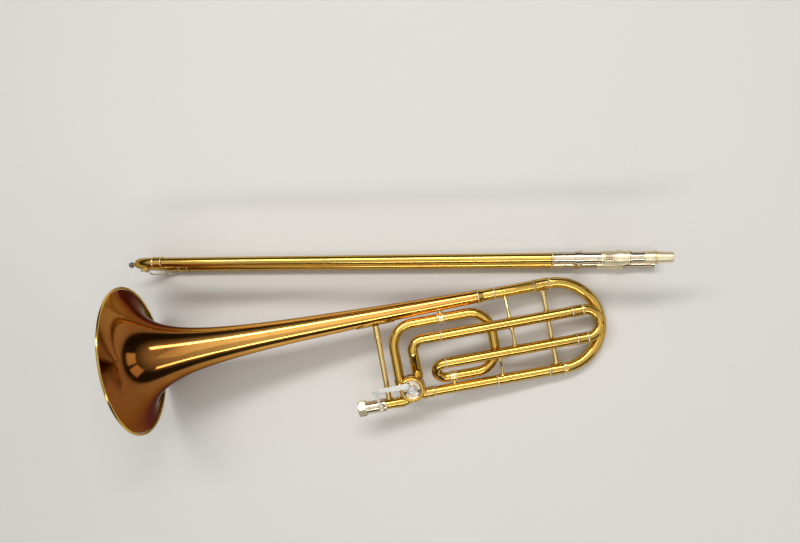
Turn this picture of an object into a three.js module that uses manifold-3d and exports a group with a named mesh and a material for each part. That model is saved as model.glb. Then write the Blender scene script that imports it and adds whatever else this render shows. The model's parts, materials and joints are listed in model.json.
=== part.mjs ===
// A large-bore tenor trombone with a rotary valve, apart in its two sections as it is stored:
// the bell section lying on the bell rim and the tuning bow, and the hand slide standing on edge
// beside it. Millimetres, +Z up, +X along the hand slide. All pieces of the bell section are set
// out in its own frame: the origin at the centre of the rim, +X along the bell's axis towards the
// bow, the neckpipe on the -Y side and the thumb lever's side up.
import * as THREE from "three";
import { mergeVertices } from "three/addons/utils/BufferGeometryUtils.js";
import Module from "manifold-3d";

const wasm = await Module();
wasm.setup();

// ---------------------------------------------------------------- driving dimensions

const GAP = 0.3; // kept between pieces that touch
const SIDES = 14; // round the ordinary tubes
const BELL_SIDES = 36;
const PIPE_SIDES = 12; // round a bent pipe
const BEND_STEPS = 5; // in a right-angle bend

// bell
const RIM_RADIUS = 114.3; // a 229 mm (9 in) bell
const RIM_WIRE = 1.9;
const LIP_RADIUS = RIM_RADIUS - 2 * RIM_WIRE - GAP - 0.1;
const FLARE_START = 21.6; // distance of the flare's pole in front of the rim
const FLARE_POWER = 0.705;
const BELL_WALL = 0.8;
const STEM_TAPER = 0.0078; // extra narrowing of the stem
const STEM_TAPER_X = 315;
const BELL_END_X = 531.5;
const TAIL_FERRULE_END_X = 559.7;

// main tuning slide: a 90-degree-and-back bow between the bell's side and the neck's side
const NECK_Y = -127.8;
const SLEEVE_END_X = 619;
const NECK_SLEEVE_X = 538.8;
const MAIN_FERRULE_END_X = 641;
const MAIN_BRACE_X = 630;
const BOW_TUBE = { outer: 8, inner: 7.3 };
const BELL_SLEEVE = { outer: 8.3, inner: 7.6 };
const BELL_LEG = { outer: 7.3, inner: 6.7 };
const NECK_SLEEVE = { outer: 7.8, inner: 7.1 };
const NECK_LEG = { outer: 6.8, inner: 6.2 };
const NECK_TUBE = { outer: 7.2, inner: 6.6 };

// attachment tubing, on a level above the neckpipe's plane
const F_LEVEL = 17.4;
const F_UPPER_Y = -46.5;
const F_LOWER_Y = -87.4;
const F_TUBE_X = 467.5;
const F_SLEEVE_END_X = 665;
const F_FERRULE_END_X = 680;
const F_SLEEVE = { outer: 7.8, inner: 7.2 };
const F_LEG = { outer: 6.9, inner: 6.3 };
const LOOP_TUBE = { outer: 7.4, inner: 6.8 };
const LOOP_TOP_Y = -21.8;
const LOOP_BOTTOM_Y = -110.4;
const LOOP_RIGHT_X = 545;
const LOOP_BEND = 33;
const LOOP_FERRULE = { upper: [468.4, 478.6], lower: [470.6, 481.2] };

// rotary valve: four ports on the casing, a quarter turn apart
const ROTOR = new THREE.Vector3(412, -117, 0);
const CASING = { outer: 19, inner: 16.8, half: 15.5 };
const ROTOR_RADIUS = 16.2;
const PASSAGE_RADIUS = 5.9;
const PORT_NEAR = 11.4; // offsets of the ports' tubes from the rotor's axis
const PORT_FAR = 16.4;
const CAP_HEIGHT = 5;
const CAP_RADIUS = 17.4;
const SPINDLE_RADIUS = 3.2;

// thumb lever and its link: a four-bar whose link is open at the stop arm's pin
const LEVER_SWING = 30;
const STOP_PIN_RADIUS = 9.4;
const LEVER_PIN_RADIUS = 26;
const LINK_LENGTH = 48;
const LINKAGE_Z = 28.5;
const LEVER_PIVOT = new THREE.Vector3(
  ROTOR.x - LINK_LENGTH,
  ROTOR.y + STOP_PIN_RADIUS * 0.854 - LEVER_PIN_RADIUS * 0.983,
  LINKAGE_Z,
);
const PIN_RADIUS = 1.5;

// slide receiver and its lock nut
const RECEIVER_Y = -134.6;
const RECEIVER_X = 326.5;
const RECEIVER_END_X = 367.6;
const RECEIVER = { outer: 9.3, inner: 7.4 };
const NUT = { front: 2, length: 12, across: 12.6 };

// main bell brace
const BELL_BRACE_X = 374.5;
const BELL_BRACE_RADIUS = 4.2;
const BELL_SOCKET_RADIUS = 4.9;

// hand slide: its legs' spacing, and places along it from the bumper's tip to the tenon's
const SLIDE_SPACING = 84;
const BUMPER_TIP_X = -20;
const BUMPER_BASE_X = -13;
const TENON_TIP_X = 818;
const CROOK_BEND = SLIDE_SPACING / 2;
const CROOK_X = 47.6;
const CROOK_FERRULE_END_X = 64.5;
const OUTER_TUBE = { outer: 7.6, inner: 7.15 };
const INNER_TUBE = { outer: 6.8, inner: 6.3 };
const OVERSLEEVE = { start: 661, end: 723.4, outer: 8.3 };
const BARREL = { start: 724, end: 761.6, outer: 9.4, ring: 9.8 };
const OUTER_BRACE_X = 694;
const INNER_BRACE_X = 749;
const LOCK_RING = { start: 727.4, end: 740.4, outer: 9.9, inner: 8.9 };
const INNER_COLLAR = BARREL.ring + 0.9;
const CROOK_TUBE = { outer: 7.6, inner: 6.9 };

// resting pose of the bell section on a flat floor, in degrees, and its place beside the slide
const BELL_PITCH = 8;
const BELL_ROLL = 4.8;
const BELL_YAW = 10.9;
const BELL_PLACE = new THREE.Vector3(30.7, -151.2, 112.8);
const SLIDE_FLOOR = INNER_COLLAR;

// ---------------------------------------------------------------- materials

const metal = (color, roughness) =>
  new THREE.MeshStandardMaterial({ color, roughness, metalness: 1 });
const ROSE_BRASS = metal(0xc27b45, 0.22);
const BRASS = metal(0xd9ab4a, 0.2);
const NICKEL = metal(0xd8d2c4, 0.25);
const CHROME = metal(0xe4e6e8, 0.12);
const RUBBER = new THREE.MeshStandardMaterial({ color: 0x2a2a2b, roughness: 0.85, metalness: 0 });

// ---------------------------------------------------------------- geometry helpers

const v3 = (x, y, z = 0) => new THREE.Vector3(x, y, z);
const degrees = THREE.MathUtils.degToRad;

// A geometry as a manifold-3d solid, with its faces turned outwards.
function solid(geometry) {
  const bare = geometry.clone();
  bare.deleteAttribute("normal");
  bare.deleteAttribute("uv");
  const merged = mergeVertices(bare, 1e-4);
  const triVerts = new Uint32Array(merged.index.array);
  const vertProperties = new Float32Array(merged.attributes.position.array);
  const made = new wasm.Manifold(new wasm.Mesh({ numProp: 3, vertProperties, triVerts }));
  if (made.volume() > 0) return made;
  const turned = triVerts.map((_, i) => triVerts[i - (i % 3) + ((3 - (i % 3)) % 3)]);
  return new wasm.Manifold(new wasm.Mesh({ numProp: 3, vertProperties, triVerts: turned }));
}

// A manifold-3d solid as a three.js geometry.
function geometryOf(body) {
  const { numProp, numVert, vertProperties, triVerts } = body.getMesh();
  const positions = new Float32Array(numVert * 3);
  for (let i = 0; i < numVert; i++) {
    positions.set(vertProperties.subarray(i * numProp, i * numProp + 3), i * 3);
  }
  const geometry = new THREE.BufferGeometry();
  geometry.setAttribute("position", new THREE.BufferAttribute(positions, 3));
  geometry.setIndex(new THREE.BufferAttribute(new Uint32Array(triVerts), 1));
  geometry.computeVertexNormals();
  return geometry;
}

const join = (...parts) => geometryOf(parts.map(solid).reduce((a, b) => a.add(b)));
const cut = (part, ...tools) =>
  geometryOf(tools.map(solid).reduce((a, b) => a.subtract(b), solid(part)));
const common = (a, b) => geometryOf(solid(a).intersect(solid(b)));

// Turns a geometry made along +Y so that it runs from one point towards another.
function aim(geometry, from, to) {
  const along = to.clone().sub(from).normalize();
  geometry.applyQuaternion(new THREE.Quaternion().setFromUnitVectors(v3(0, 1), along));
  return geometry.translate(from.x, from.y, from.z);
}

// A solid of revolution: [radius, distance] pairs from one point towards another.
function turned(profile, from, to, sides = SIDES) {
  const points = profile.map(([r, d]) => new THREE.Vector2(r, d));
  return aim(new THREE.LatheGeometry(points, sides), from, to);
}

// A round rod, or a tube with an inner radius, between two points.
function rod(from, to, outer, inner = 0, sides = SIDES) {
  const length = from.distanceTo(to);
  const bored = [[inner, 0], [outer, 0], [outer, length], [inner, length], [inner, 0]];
  const full = [[0, 0], [outer, 0], [outer, length], [0, length]];
  return turned(inner > 0 ? bored : full, from, to, sides);
}

// A solid turned about a line along +X.
const turnedX = (profile, y, z, sides = SIDES) => turned(profile, v3(0, y, z), v3(1, y, z), sides);

// A route of straight runs joined by round bends. Its stations are the ends of the runs and a few
// steps round each bend, so a straight run costs nothing.
class PipeRoute extends THREE.Curve {
  constructor(corners, bends, stepsPerRightAngle = BEND_STEPS) {
    super();
    this.stations = [];
    const put = (point, tangent) => this.stations.push({ point, tangent });
    const way = (a, b) => b.clone().sub(a).normalize();
    corners.forEach((corner, i) => {
      if (i === 0) return put(corner, way(corner, corners[1]));
      const incoming = way(corners[i - 1], corner);
      if (i === corners.length - 1) return put(corner, incoming);
      const outgoing = way(corner, corners[i + 1]);
      const angle = incoming.angleTo(outgoing);
      const radius = Array.isArray(bends) ? bends[i - 1] : bends;
      const start = corner.clone().addScaledVector(incoming, -radius * Math.tan(angle / 2));
      const inward = outgoing.clone().addScaledVector(incoming, -Math.cos(angle)).normalize();
      const steps = Math.max(1, Math.round((stepsPerRightAngle * angle) / (Math.PI / 2)));
      for (let k = 0; k <= steps; k++) {
        const turn = (angle * k) / steps;
        const tangent = incoming.clone().multiplyScalar(Math.cos(turn));
        tangent.addScaledVector(inward, Math.sin(turn));
        const point = start.clone().addScaledVector(incoming, radius * Math.sin(turn));
        point.addScaledVector(inward, radius * (1 - Math.cos(turn)));
        put(point, tangent);
      }
    });
  }
  at(u) {
    return this.stations[Math.round(u * (this.stations.length - 1))];
  }
  getPoint(u) {
    return this.at(u).point.clone();
  }
  getPointAt(u) {
    return this.getPoint(u);
  }
  getTangent(u) {
    return this.at(u).tangent.clone();
  }
  getTangentAt(u) {
    return this.getTangent(u);
  }
}

// A pipe, or a rod when inner is 0, along a route.
function pipe(route, outer, inner = 0, sides = PIPE_SIDES) {
  const ring = (radius) =>
    Array.from({ length: sides }, (_, i) => {
      const a = (2 * Math.PI * i) / sides;
      return new THREE.Vector2(radius * Math.cos(a), radius * Math.sin(a));
    });
  const shape = new THREE.Shape(ring(outer));
  if (inner > 0) shape.holes.push(new THREE.Path(ring(inner)));
  const steps = route.stations.length - 1;
  return new THREE.ExtrudeGeometry(shape, { steps, extrudePath: route, bevelEnabled: false });
}

// A flat plate in the XY plane with a rounded outline, from z to z + thickness.
function plate(outline, z, thickness, holes = []) {
  const shape = new THREE.Shape(outline);
  for (const { x, y, rx, ry } of holes) {
    shape.holes.push(new THREE.Path().absellipse(x, y, rx, ry, 0, 2 * Math.PI, false));
  }
  const options = { depth: thickness, bevelEnabled: false, curveSegments: 6 };
  return new THREE.ExtrudeGeometry(shape, options).translate(0, 0, z);
}

// The outline of a bar with round ends between two points.
function barOutline(a, b, radiusA, radiusB, steps = 6) {
  const heading = Math.atan2(b.y - a.y, b.x - a.x);
  const points = [];
  for (const [centre, radius, start] of [[b, radiusB, -Math.PI / 2], [a, radiusA, Math.PI / 2]]) {
    for (let k = 0; k <= steps; k++) {
      const angle = heading + start + (Math.PI * k) / steps;
      const point = new THREE.Vector2(Math.cos(angle), Math.sin(angle)).multiplyScalar(radius);
      points.push(point.add(new THREE.Vector2(centre.x, centre.y)));
    }
  }
  return points;
}

// The oval patch of a shell round a tube, on the side where a brace meets it.
function ovalPatch(shell, tubeCentre, tubeAxis, towards, reach, halfLength, halfWidth) {
  const side = towards.clone().sub(tubeCentre).normalize();
  const oval = new THREE.CylinderGeometry(1, 1, reach, 10).translate(0, reach / 2, 0);
  const across = new THREE.Vector3().crossVectors(tubeAxis, side);
  oval.applyMatrix4(
    new THREE.Matrix4().makeBasis(
      tubeAxis.clone().multiplyScalar(halfLength),
      side,
      across.multiplyScalar(-halfWidth),
    ),
  );
  oval.translate(tubeCentre.x, tubeCentre.y, tubeCentre.z);
  return common(shell, oval);
}

// A thin oval saddle that hugs a straight tube.
function saddle(tubeCentre, tubeAxis, tubeRadius, towards, halfLength, halfWidth, thickness = 1) {
  const reach = tubeRadius + GAP + thickness;
  const from = tubeCentre.clone().addScaledVector(tubeAxis, -halfLength);
  const to = tubeCentre.clone().addScaledVector(tubeAxis, halfLength);
  const shell = rod(from, to, reach, tubeRadius + GAP, 16);
  return ovalPatch(shell, tubeCentre, tubeAxis, towards, reach, halfLength, halfWidth);
}

// A brace between two parallel tubes: a waisted rod with an oval saddle at each end.
function brace(centreA, radiusA, centreB, radiusB, thick, waist, halfLength = 6) {
  const axis = v3(1, 0);
  const distance = centreA.distanceTo(centreB);
  const start = radiusA + GAP + 0.5;
  const end = distance - radiusB - GAP - 0.5;
  const middle = (start + end) / 2;
  const profile = [[0, start], [thick, start], [thick, start + 1.5], [waist, middle],
    [thick, end - 1.5], [thick, end], [0, end]];
  const shaft = turned(profile, centreA, centreB, 10);
  const saddleA = saddle(centreA, axis, radiusA, centreB, halfLength, halfLength * 0.75);
  const saddleB = saddle(centreB, axis, radiusB, centreA, halfLength, halfLength * 0.75);
  return join(shaft, saddleA, saddleB);
}

function named(name, geometry, material) {
  const mesh = new THREE.Mesh(geometry, material);
  mesh.name = name;
  return mesh;
}

// ---------------------------------------------------------------- bell

const flareRadius = (x) =>
  LIP_RADIUS * (FLARE_START / (x + FLARE_START)) ** FLARE_POWER -
  STEM_TAPER * Math.max(0, x - STEM_TAPER_X);

function bell() {
  const stations = 11;
  const outside = [];
  const inside = [];
  for (let i = 0; i <= stations; i++) {
    const x = BELL_END_X * (i / stations) ** 2.3;
    const slope = (flareRadius(x + 0.01) - flareRadius(x)) / 0.01;
    const lean = Math.hypot(1, slope);
    outside.push([flareRadius(x), x]);
    inside.unshift([flareRadius(x) - BELL_WALL / lean, x + (BELL_WALL * slope) / lean]);
  }
  const profile = [...outside, ...inside, outside[0]];
  return named("bell", turnedX(profile, 0, 0, BELL_SIDES), ROSE_BRASS);
}

function bellRimWire() {
  const ring = [];
  const centre = RIM_RADIUS - RIM_WIRE;
  const steps = 6;
  for (let i = 0; i < steps; i++) {
    const a = (2 * Math.PI * i) / steps;
    ring.push([centre + RIM_WIRE * Math.cos(a), RIM_WIRE * Math.sin(a)]);
  }
  ring.push(ring[0]);
  return named("bell_rim_wire", turnedX(ring, 0, 0, BELL_SIDES), BRASS);
}

function bellTailFerrule() {
  const from = BELL_END_X + GAP;
  const to = TAIL_FERRULE_END_X;
  const outer = BELL_SLEEVE.outer;
  const profile = [
    [8.4, from], [10.4, from], [10.6, from + 1.2], [10.2, from + 2.4], [outer + 0.5, from + 9],
    [outer + 0.2, to - 2], [outer + 0.9, to - 1.6], [outer + 0.9, to],
    [BELL_SLEEVE.inner, to], [BELL_SLEEVE.inner, from + 9], [8.4, from],
  ];
  return named("bell_tail_ferrule", turnedX(profile, 0, 0), BRASS);
}

// ---------------------------------------------------------------- main tuning slide

// A fixed outer tube with a raised ring at its mouth.
function sleeve(name, y, z, from, to, tube, material = BRASS) {
  const lip = tube.outer + 0.6;
  const profile = [
    [tube.inner, from], [tube.outer, from], [tube.outer, to - 2], [lip, to - 2],
    [lip, to], [tube.inner, to], [tube.inner, from],
  ];
  return named(name, turnedX(profile, y, z), material);
}

// An inner leg that runs in a sleeve, ending in the bow's ferrule outside it.
function innerLeg(name, y, z, from, mouth, to, leg, ferrule, bow) {
  const start = mouth + GAP;
  const profile = [
    [leg.inner, from], [leg.outer, from], [leg.outer, start], [ferrule, start],
    [ferrule, to - 2], [ferrule + 0.5, to - 2], [ferrule + 0.5, to], [bow.inner, to],
    [leg.inner, to - 6], [leg.inner, from],
  ];
  return named(name, turnedX(profile, y, z), BRASS);
}

// A half-round bow between two legs.
function bow(name, x, yTop, yBottom, z, tube, steps) {
  const radius = (yTop - yBottom) / 2;
  const corners = [v3(x, yTop, z), v3(x + radius, yTop, z), v3(x + radius, yBottom, z), v3(x, yBottom, z)];
  const route = new PipeRoute(corners, radius, steps);
  return named(name, pipe(route, tube.outer, tube.inner), BRASS);
}

function mainTuningSlide() {
  const group = new THREE.Group();
  const legStart = BELL_END_X + 32;
  const braceTop = v3(MAIN_BRACE_X, 0);
  const braceBottom = v3(MAIN_BRACE_X, NECK_Y);
  group.add(
    bow("main_bow", MAIN_FERRULE_END_X + GAP, 0, NECK_Y, 0, BOW_TUBE, 6),
    innerLeg("main_inner_leg_bell_side", 0, 0, legStart, SLEEVE_END_X, MAIN_FERRULE_END_X,
      BELL_LEG, 8.7, BOW_TUBE),
    innerLeg("main_inner_leg_neck_side", NECK_Y, 0, legStart, SLEEVE_END_X, MAIN_FERRULE_END_X,
      NECK_LEG, 8.5, BOW_TUBE),
    named("main_bow_brace", brace(braceTop, 9.2, braceBottom, 9, 4.3, 3.7, 6), BRASS),
  );
  return group;
}

// ---------------------------------------------------------------- attachment tubing

// A short sleeve that joins two tubes end to end.
function ferrule(name, y, z, [from, to], inner, outer) {
  const profile = [
    [inner, from], [outer + 0.5, from], [outer + 0.5, from + 1.6], [outer, from + 1.6],
    [outer, to - 1.6], [outer + 0.5, to - 1.6], [outer + 0.5, to], [inner, to], [inner, from],
  ];
  return named(name, turnedX(profile, y, z), BRASS);
}

// The keep-out space round the valve casing, for trimming the tubes that meet it.
const casingSpace = () =>
  rod(v3(ROTOR.x, ROTOR.y, -30), v3(ROTOR.x, ROTOR.y, 30), CASING.outer + GAP, 0, 24);

function attachmentTubes() {
  const riseX = ROTOR.x - PORT_FAR;
  const branchX = ROTOR.x + PORT_NEAR;
  const portY = ROTOR.y + 4;
  const rise = new PipeRoute(
    [v3(riseX, portY), v3(riseX, LOOP_TOP_Y), v3(LOOP_FERRULE.upper[0] - GAP, LOOP_TOP_Y)],
    LOOP_BEND,
  );
  const bend = new PipeRoute(
    [
      v3(LOOP_FERRULE.upper[1] + GAP, LOOP_TOP_Y),
      v3(LOOP_RIGHT_X, LOOP_TOP_Y),
      v3(LOOP_RIGHT_X, LOOP_BOTTOM_Y),
      v3(LOOP_FERRULE.lower[1] + GAP, LOOP_BOTTOM_Y),
    ],
    LOOP_BEND,
  );
  const returnX = 452.5;
  const back = new PipeRoute(
    [
      v3(LOOP_FERRULE.lower[0] - GAP, LOOP_BOTTOM_Y),
      v3(returnX, LOOP_BOTTOM_Y),
      v3(returnX, F_LOWER_Y, F_LEVEL),
      v3(F_TUBE_X - GAP, F_LOWER_Y, F_LEVEL),
    ],
    [14.2, 14.2],
  );
  const branch = new PipeRoute(
    [
      v3(branchX, portY + 6),
      v3(branchX, ROTOR.y + 26),
      v3(branchX, F_UPPER_Y - 18, F_LEVEL),
      v3(branchX, F_UPPER_Y, F_LEVEL),
      v3(F_TUBE_X - GAP, F_UPPER_Y, F_LEVEL),
    ],
    [24, 24, 17],
  );
  const { outer, inner } = LOOP_TUBE;
  return [
    named("f_loop_rise", cut(pipe(rise, outer, inner), casingSpace()), BRASS),
    named("f_loop_bend", pipe(bend, outer, inner), BRASS),
    named("f_loop_return", pipe(back, outer, inner), BRASS),
    named("f_branch", cut(pipe(branch, outer, inner), casingSpace()), BRASS),
    ferrule("f_loop_upper_ferrule", LOOP_TOP_Y, 0, LOOP_FERRULE.upper, inner, outer + 0.7),
    ferrule("f_loop_lower_ferrule", LOOP_BOTTOM_Y, 0, LOOP_FERRULE.lower, inner, outer + 0.7),
    sleeve("f_slide_tube_upper", F_UPPER_Y, F_LEVEL, F_TUBE_X, F_SLEEVE_END_X, F_SLEEVE),
    sleeve("f_slide_tube_lower", F_LOWER_Y, F_LEVEL, F_TUBE_X, F_SLEEVE_END_X, F_SLEEVE),
  ];
}

function attachmentTuningSlide() {
  const group = new THREE.Group();
  const legStart = F_SLEEVE_END_X - 92;
  const legs = { upper: F_UPPER_Y, lower: F_LOWER_Y };
  for (const [side, y] of Object.entries(legs)) {
    group.add(
      innerLeg("f_inner_leg_" + side, y, F_LEVEL, legStart, F_SLEEVE_END_X, F_FERRULE_END_X,
        F_LEG, 8.2, LOOP_TUBE),
    );
  }
  group.add(bow("f_bow", F_FERRULE_END_X + GAP, F_UPPER_Y, F_LOWER_Y, F_LEVEL, LOOP_TUBE, 4));
  return group;
}

// ---------------------------------------------------------------- neckpipe and braces

function neckpipe() {
  const space = casingSpace();
  const rear = turnedX(
    [
      [NECK_TUBE.inner, ROTOR.x + 6], [NECK_TUBE.outer, ROTOR.x + 6], [NECK_TUBE.outer, 433],
      [8.3, 433], [8.3, 434.6], [7.9, 434.6], [7.9, 443.6], [8.3, 443.6], [8.3, 445.2],
      [NECK_TUBE.outer, 445.2], [NECK_TUBE.outer, NECK_SLEEVE_X - GAP],
      [NECK_TUBE.inner, NECK_SLEEVE_X - GAP], [NECK_TUBE.inner, ROTOR.x + 6],
    ],
    NECK_Y,
    0,
  );
  const elbowX = ROTOR.x - 6;
  const elbow = new PipeRoute(
    [v3(RECEIVER_END_X + GAP, RECEIVER_Y), v3(elbowX, RECEIVER_Y), v3(elbowX, ROTOR.y)],
    10,
  );
  const band = rod(v3(386, RECEIVER_Y), v3(388, RECEIVER_Y), 8.1, 6.9);
  const front = join(pipe(elbow, NECK_TUBE.outer, NECK_TUBE.inner), band);
  return [
    named("neckpipe_rear", cut(rear, space), BRASS),
    named("neckpipe_front", cut(front, space), BRASS),
  ];
}

// The nickel socket for the hand slide's tenon. A shoulder behind its mouth holds the lock nut.
function slideReceiver() {
  const mouth = RECEIVER_X + NUT.front + 1;
  const profile = [
    [8.4, mouth], [10.2, mouth], [10.2, mouth + 1.6], [RECEIVER.outer, mouth + 1.6],
    [RECEIVER.outer, RECEIVER_END_X - 2], [RECEIVER.outer + 0.5, RECEIVER_END_X - 2],
    [RECEIVER.outer + 0.5, RECEIVER_END_X], [NECK_TUBE.inner, RECEIVER_END_X],
    [RECEIVER.inner, RECEIVER_END_X - 6], [8.4, mouth],
  ];
  return named("slide_receiver", turnedX(profile, RECEIVER_Y, 0), NICKEL);
}

// A bevelled six-sided nut, threaded in front and closed behind the receiver's shoulder.
function lockNut() {
  const from = RECEIVER_X;
  const to = RECEIVER_X + NUT.length;
  const hex = new THREE.CylinderGeometry(NUT.across, NUT.across, NUT.length, 6);
  hex.rotateZ(-Math.PI / 2).translate((from + to) / 2, RECEIVER_Y, 0);
  const bevel = turnedX(
    [[0, from], [10.9, from], [13.2, from + 3.4], [13.2, to - 1.6], [11.9, to], [0, to]],
    RECEIVER_Y,
    0,
    12,
  );
  const bore = turnedX(
    [
      [0, from - 1], [9.9, from - 1], [9.9, from + NUT.front + 0.4], [10.7, from + NUT.front + 0.4],
      [10.7, from + NUT.front + 3.2], [RECEIVER.outer + 0.4, from + NUT.front + 3.2],
      [RECEIVER.outer + 0.4, to + 1], [0, to + 1],
    ],
    RECEIVER_Y,
    0,
    16,
  );
  const group = new THREE.Group();
  group.add(named("lock_nut", cut(common(hex, bevel), bore), NICKEL));
  return group;
}

function bellBrace() {
  const stem = flareRadius(BELL_BRACE_X) + 0.4;
  const foot = RECEIVER_Y;
  const flangeTop = v3(BELL_BRACE_X, 0);
  const flangeFoot = v3(BELL_BRACE_X, foot);
  const rodTop = -stem - 2.2;
  const rodLength = rodTop - foot;
  const shaft = turned(
    [
      [0, 0], [BELL_SOCKET_RADIUS, 0], [BELL_SOCKET_RADIUS, 16.4], [BELL_SOCKET_RADIUS + 0.7, 16.6],
      [BELL_SOCKET_RADIUS + 0.7, 18.6], [BELL_BRACE_RADIUS, 19],
      [BELL_BRACE_RADIUS, rodLength], [0, rodLength],
    ],
    v3(BELL_BRACE_X, rodTop),
    v3(BELL_BRACE_X, rodTop - 1),
    12,
  );
  const neckRadius = NECK_TUBE.outer + 0.4;
  const keepOut = rod(v3(360, foot), v3(392, foot), neckRadius + GAP, 0, 24);
  const footSaddle = saddle(flangeFoot, v3(1, 0), neckRadius, flangeTop, 6, 5.4, 1.2);
  const skin = (offset) =>
    [-30, -15, 0, 15, 30].map((d) => [flareRadius(BELL_BRACE_X + d) + offset, BELL_BRACE_X + d]);
  const shellOutline = [...skin(0.4), ...skin(1.9).reverse(), skin(0.4)[0]];
  const shell = turnedX(shellOutline, 0, 0, BELL_SIDES);
  const flange = ovalPatch(shell, flangeTop, v3(1, 0), flangeFoot, stem + 6, 30, 12);
  return [
    named("bell_brace", join(cut(shaft, keepOut), footSaddle), BRASS),
    named("bell_brace_flange", flange, BRASS),
  ];
}

function tubeBraces() {
  const upper = v3(573, F_UPPER_Y, F_LEVEL);
  const lower = v3(573, F_LOWER_Y, F_LEVEL);
  const lowerC = v3(548.5, F_LOWER_Y, F_LEVEL);
  const neck = v3(548.5, NECK_Y);
  const { outer } = F_SLEEVE;
  return [
    named("tube_brace_upper",
      brace(v3(573, 0), BELL_SLEEVE.outer, upper, outer, 2.7, 1.7, 5), BRASS),
    named("tube_brace_middle", brace(upper, outer, lower, outer, 3.1, 2.1, 5), BRASS),
    named("tube_brace_lower", brace(lowerC, outer, neck, NECK_SLEEVE.outer, 2.4, 1.4, 5), BRASS),
  ];
}

// A short block between two tubes that nearly touch, hollowed to fit each.
function nearSaddle(name, x, yA, radiusA, yB, radiusB) {
  const from = v3(x, yA);
  const to = v3(x, yB);
  const block = rod(from, to, 3.2, 0, 12);
  const toolA = rod(v3(x - 9, yA), v3(x + 9, yA), radiusA + GAP, 0, 24);
  const toolB = rod(v3(x - 9, yB), v3(x + 9, yB), radiusB + GAP, 0, 24);
  return named(name, cut(block, toolA, toolB), BRASS);
}

// ---------------------------------------------------------------- rotary valve

// Routes of the two passages through the rotor, set out for the valve at rest.
function passageRoute(sign) {
  const reach = 30;
  const near = PORT_NEAR;
  const far = PORT_FAR;
  const corners = sign > 0
    ? [v3(-reach, -far), v3(-11, -far + 0.5), v3(0, -8.4), v3(11, -near), v3(reach, -near)]
    : [v3(-far, reach), v3(-far + 3.6, 12), v3(0, 8.4), v3(near, 12), v3(near, reach)];
  return new PipeRoute(corners, [6, 6, 6], 3);
}

function rotorCasing() {
  const { outer, inner, half } = CASING;
  const shell = rod(v3(0, 0, -half), v3(0, 0, half), outer, inner, 20);
  const port = (a, b) => rod(a, b, LOOP_TUBE.inner, 0, 10);
  const body = cut(
    shell,
    port(v3(-30, -PORT_FAR + 3.6), v3(-6, -PORT_FAR + 3.6)),
    port(v3(6, -PORT_NEAR), v3(30, -PORT_NEAR)),
    port(v3(-PORT_FAR + 3.6, 6), v3(-PORT_FAR + 3.6, 30)),
    port(v3(PORT_NEAR, 6), v3(PORT_NEAR, 30)),
  );
  return named("rotor_casing", body.translate(ROTOR.x, ROTOR.y, 0), BRASS);
}

// A screw cap; the front one has a hole for the rotor's spindle.
function casingCap(name, from, to, hole) {
  const height = Math.abs(to - from);
  const inner = hole ? SPINDLE_RADIUS + GAP : 0;
  const profile = [
    [inner, 0], [CAP_RADIUS - 1.4, 0], [CAP_RADIUS - 1.4, 1], [CAP_RADIUS + 0.9, 1], [CAP_RADIUS + 0.9, 3],
    [CAP_RADIUS - 0.6, height], [CAP_RADIUS - 3.2, height], [CAP_RADIUS - 4, height - 1.4],
    [inner, height - 1.4],
  ];
  if (hole) profile.push(profile[0]);
  const start = v3(ROTOR.x, ROTOR.y, from);
  const end = v3(ROTOR.x, ROTOR.y, to);
  return named(name, turned(profile, start, end, 20), BRASS);
}

function stopBumper(name, angle) {
  const at = v3(ROTOR.x + 10.9 * Math.cos(angle), ROTOR.y + 10.9 * Math.sin(angle));
  const base = CASING.half + GAP + CAP_HEIGHT - 1.4 + GAP;
  return named(name, rod(v3(at.x, at.y, base), v3(at.x, at.y, base + 5), 2, 0, 10), RUBBER);
}

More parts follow.
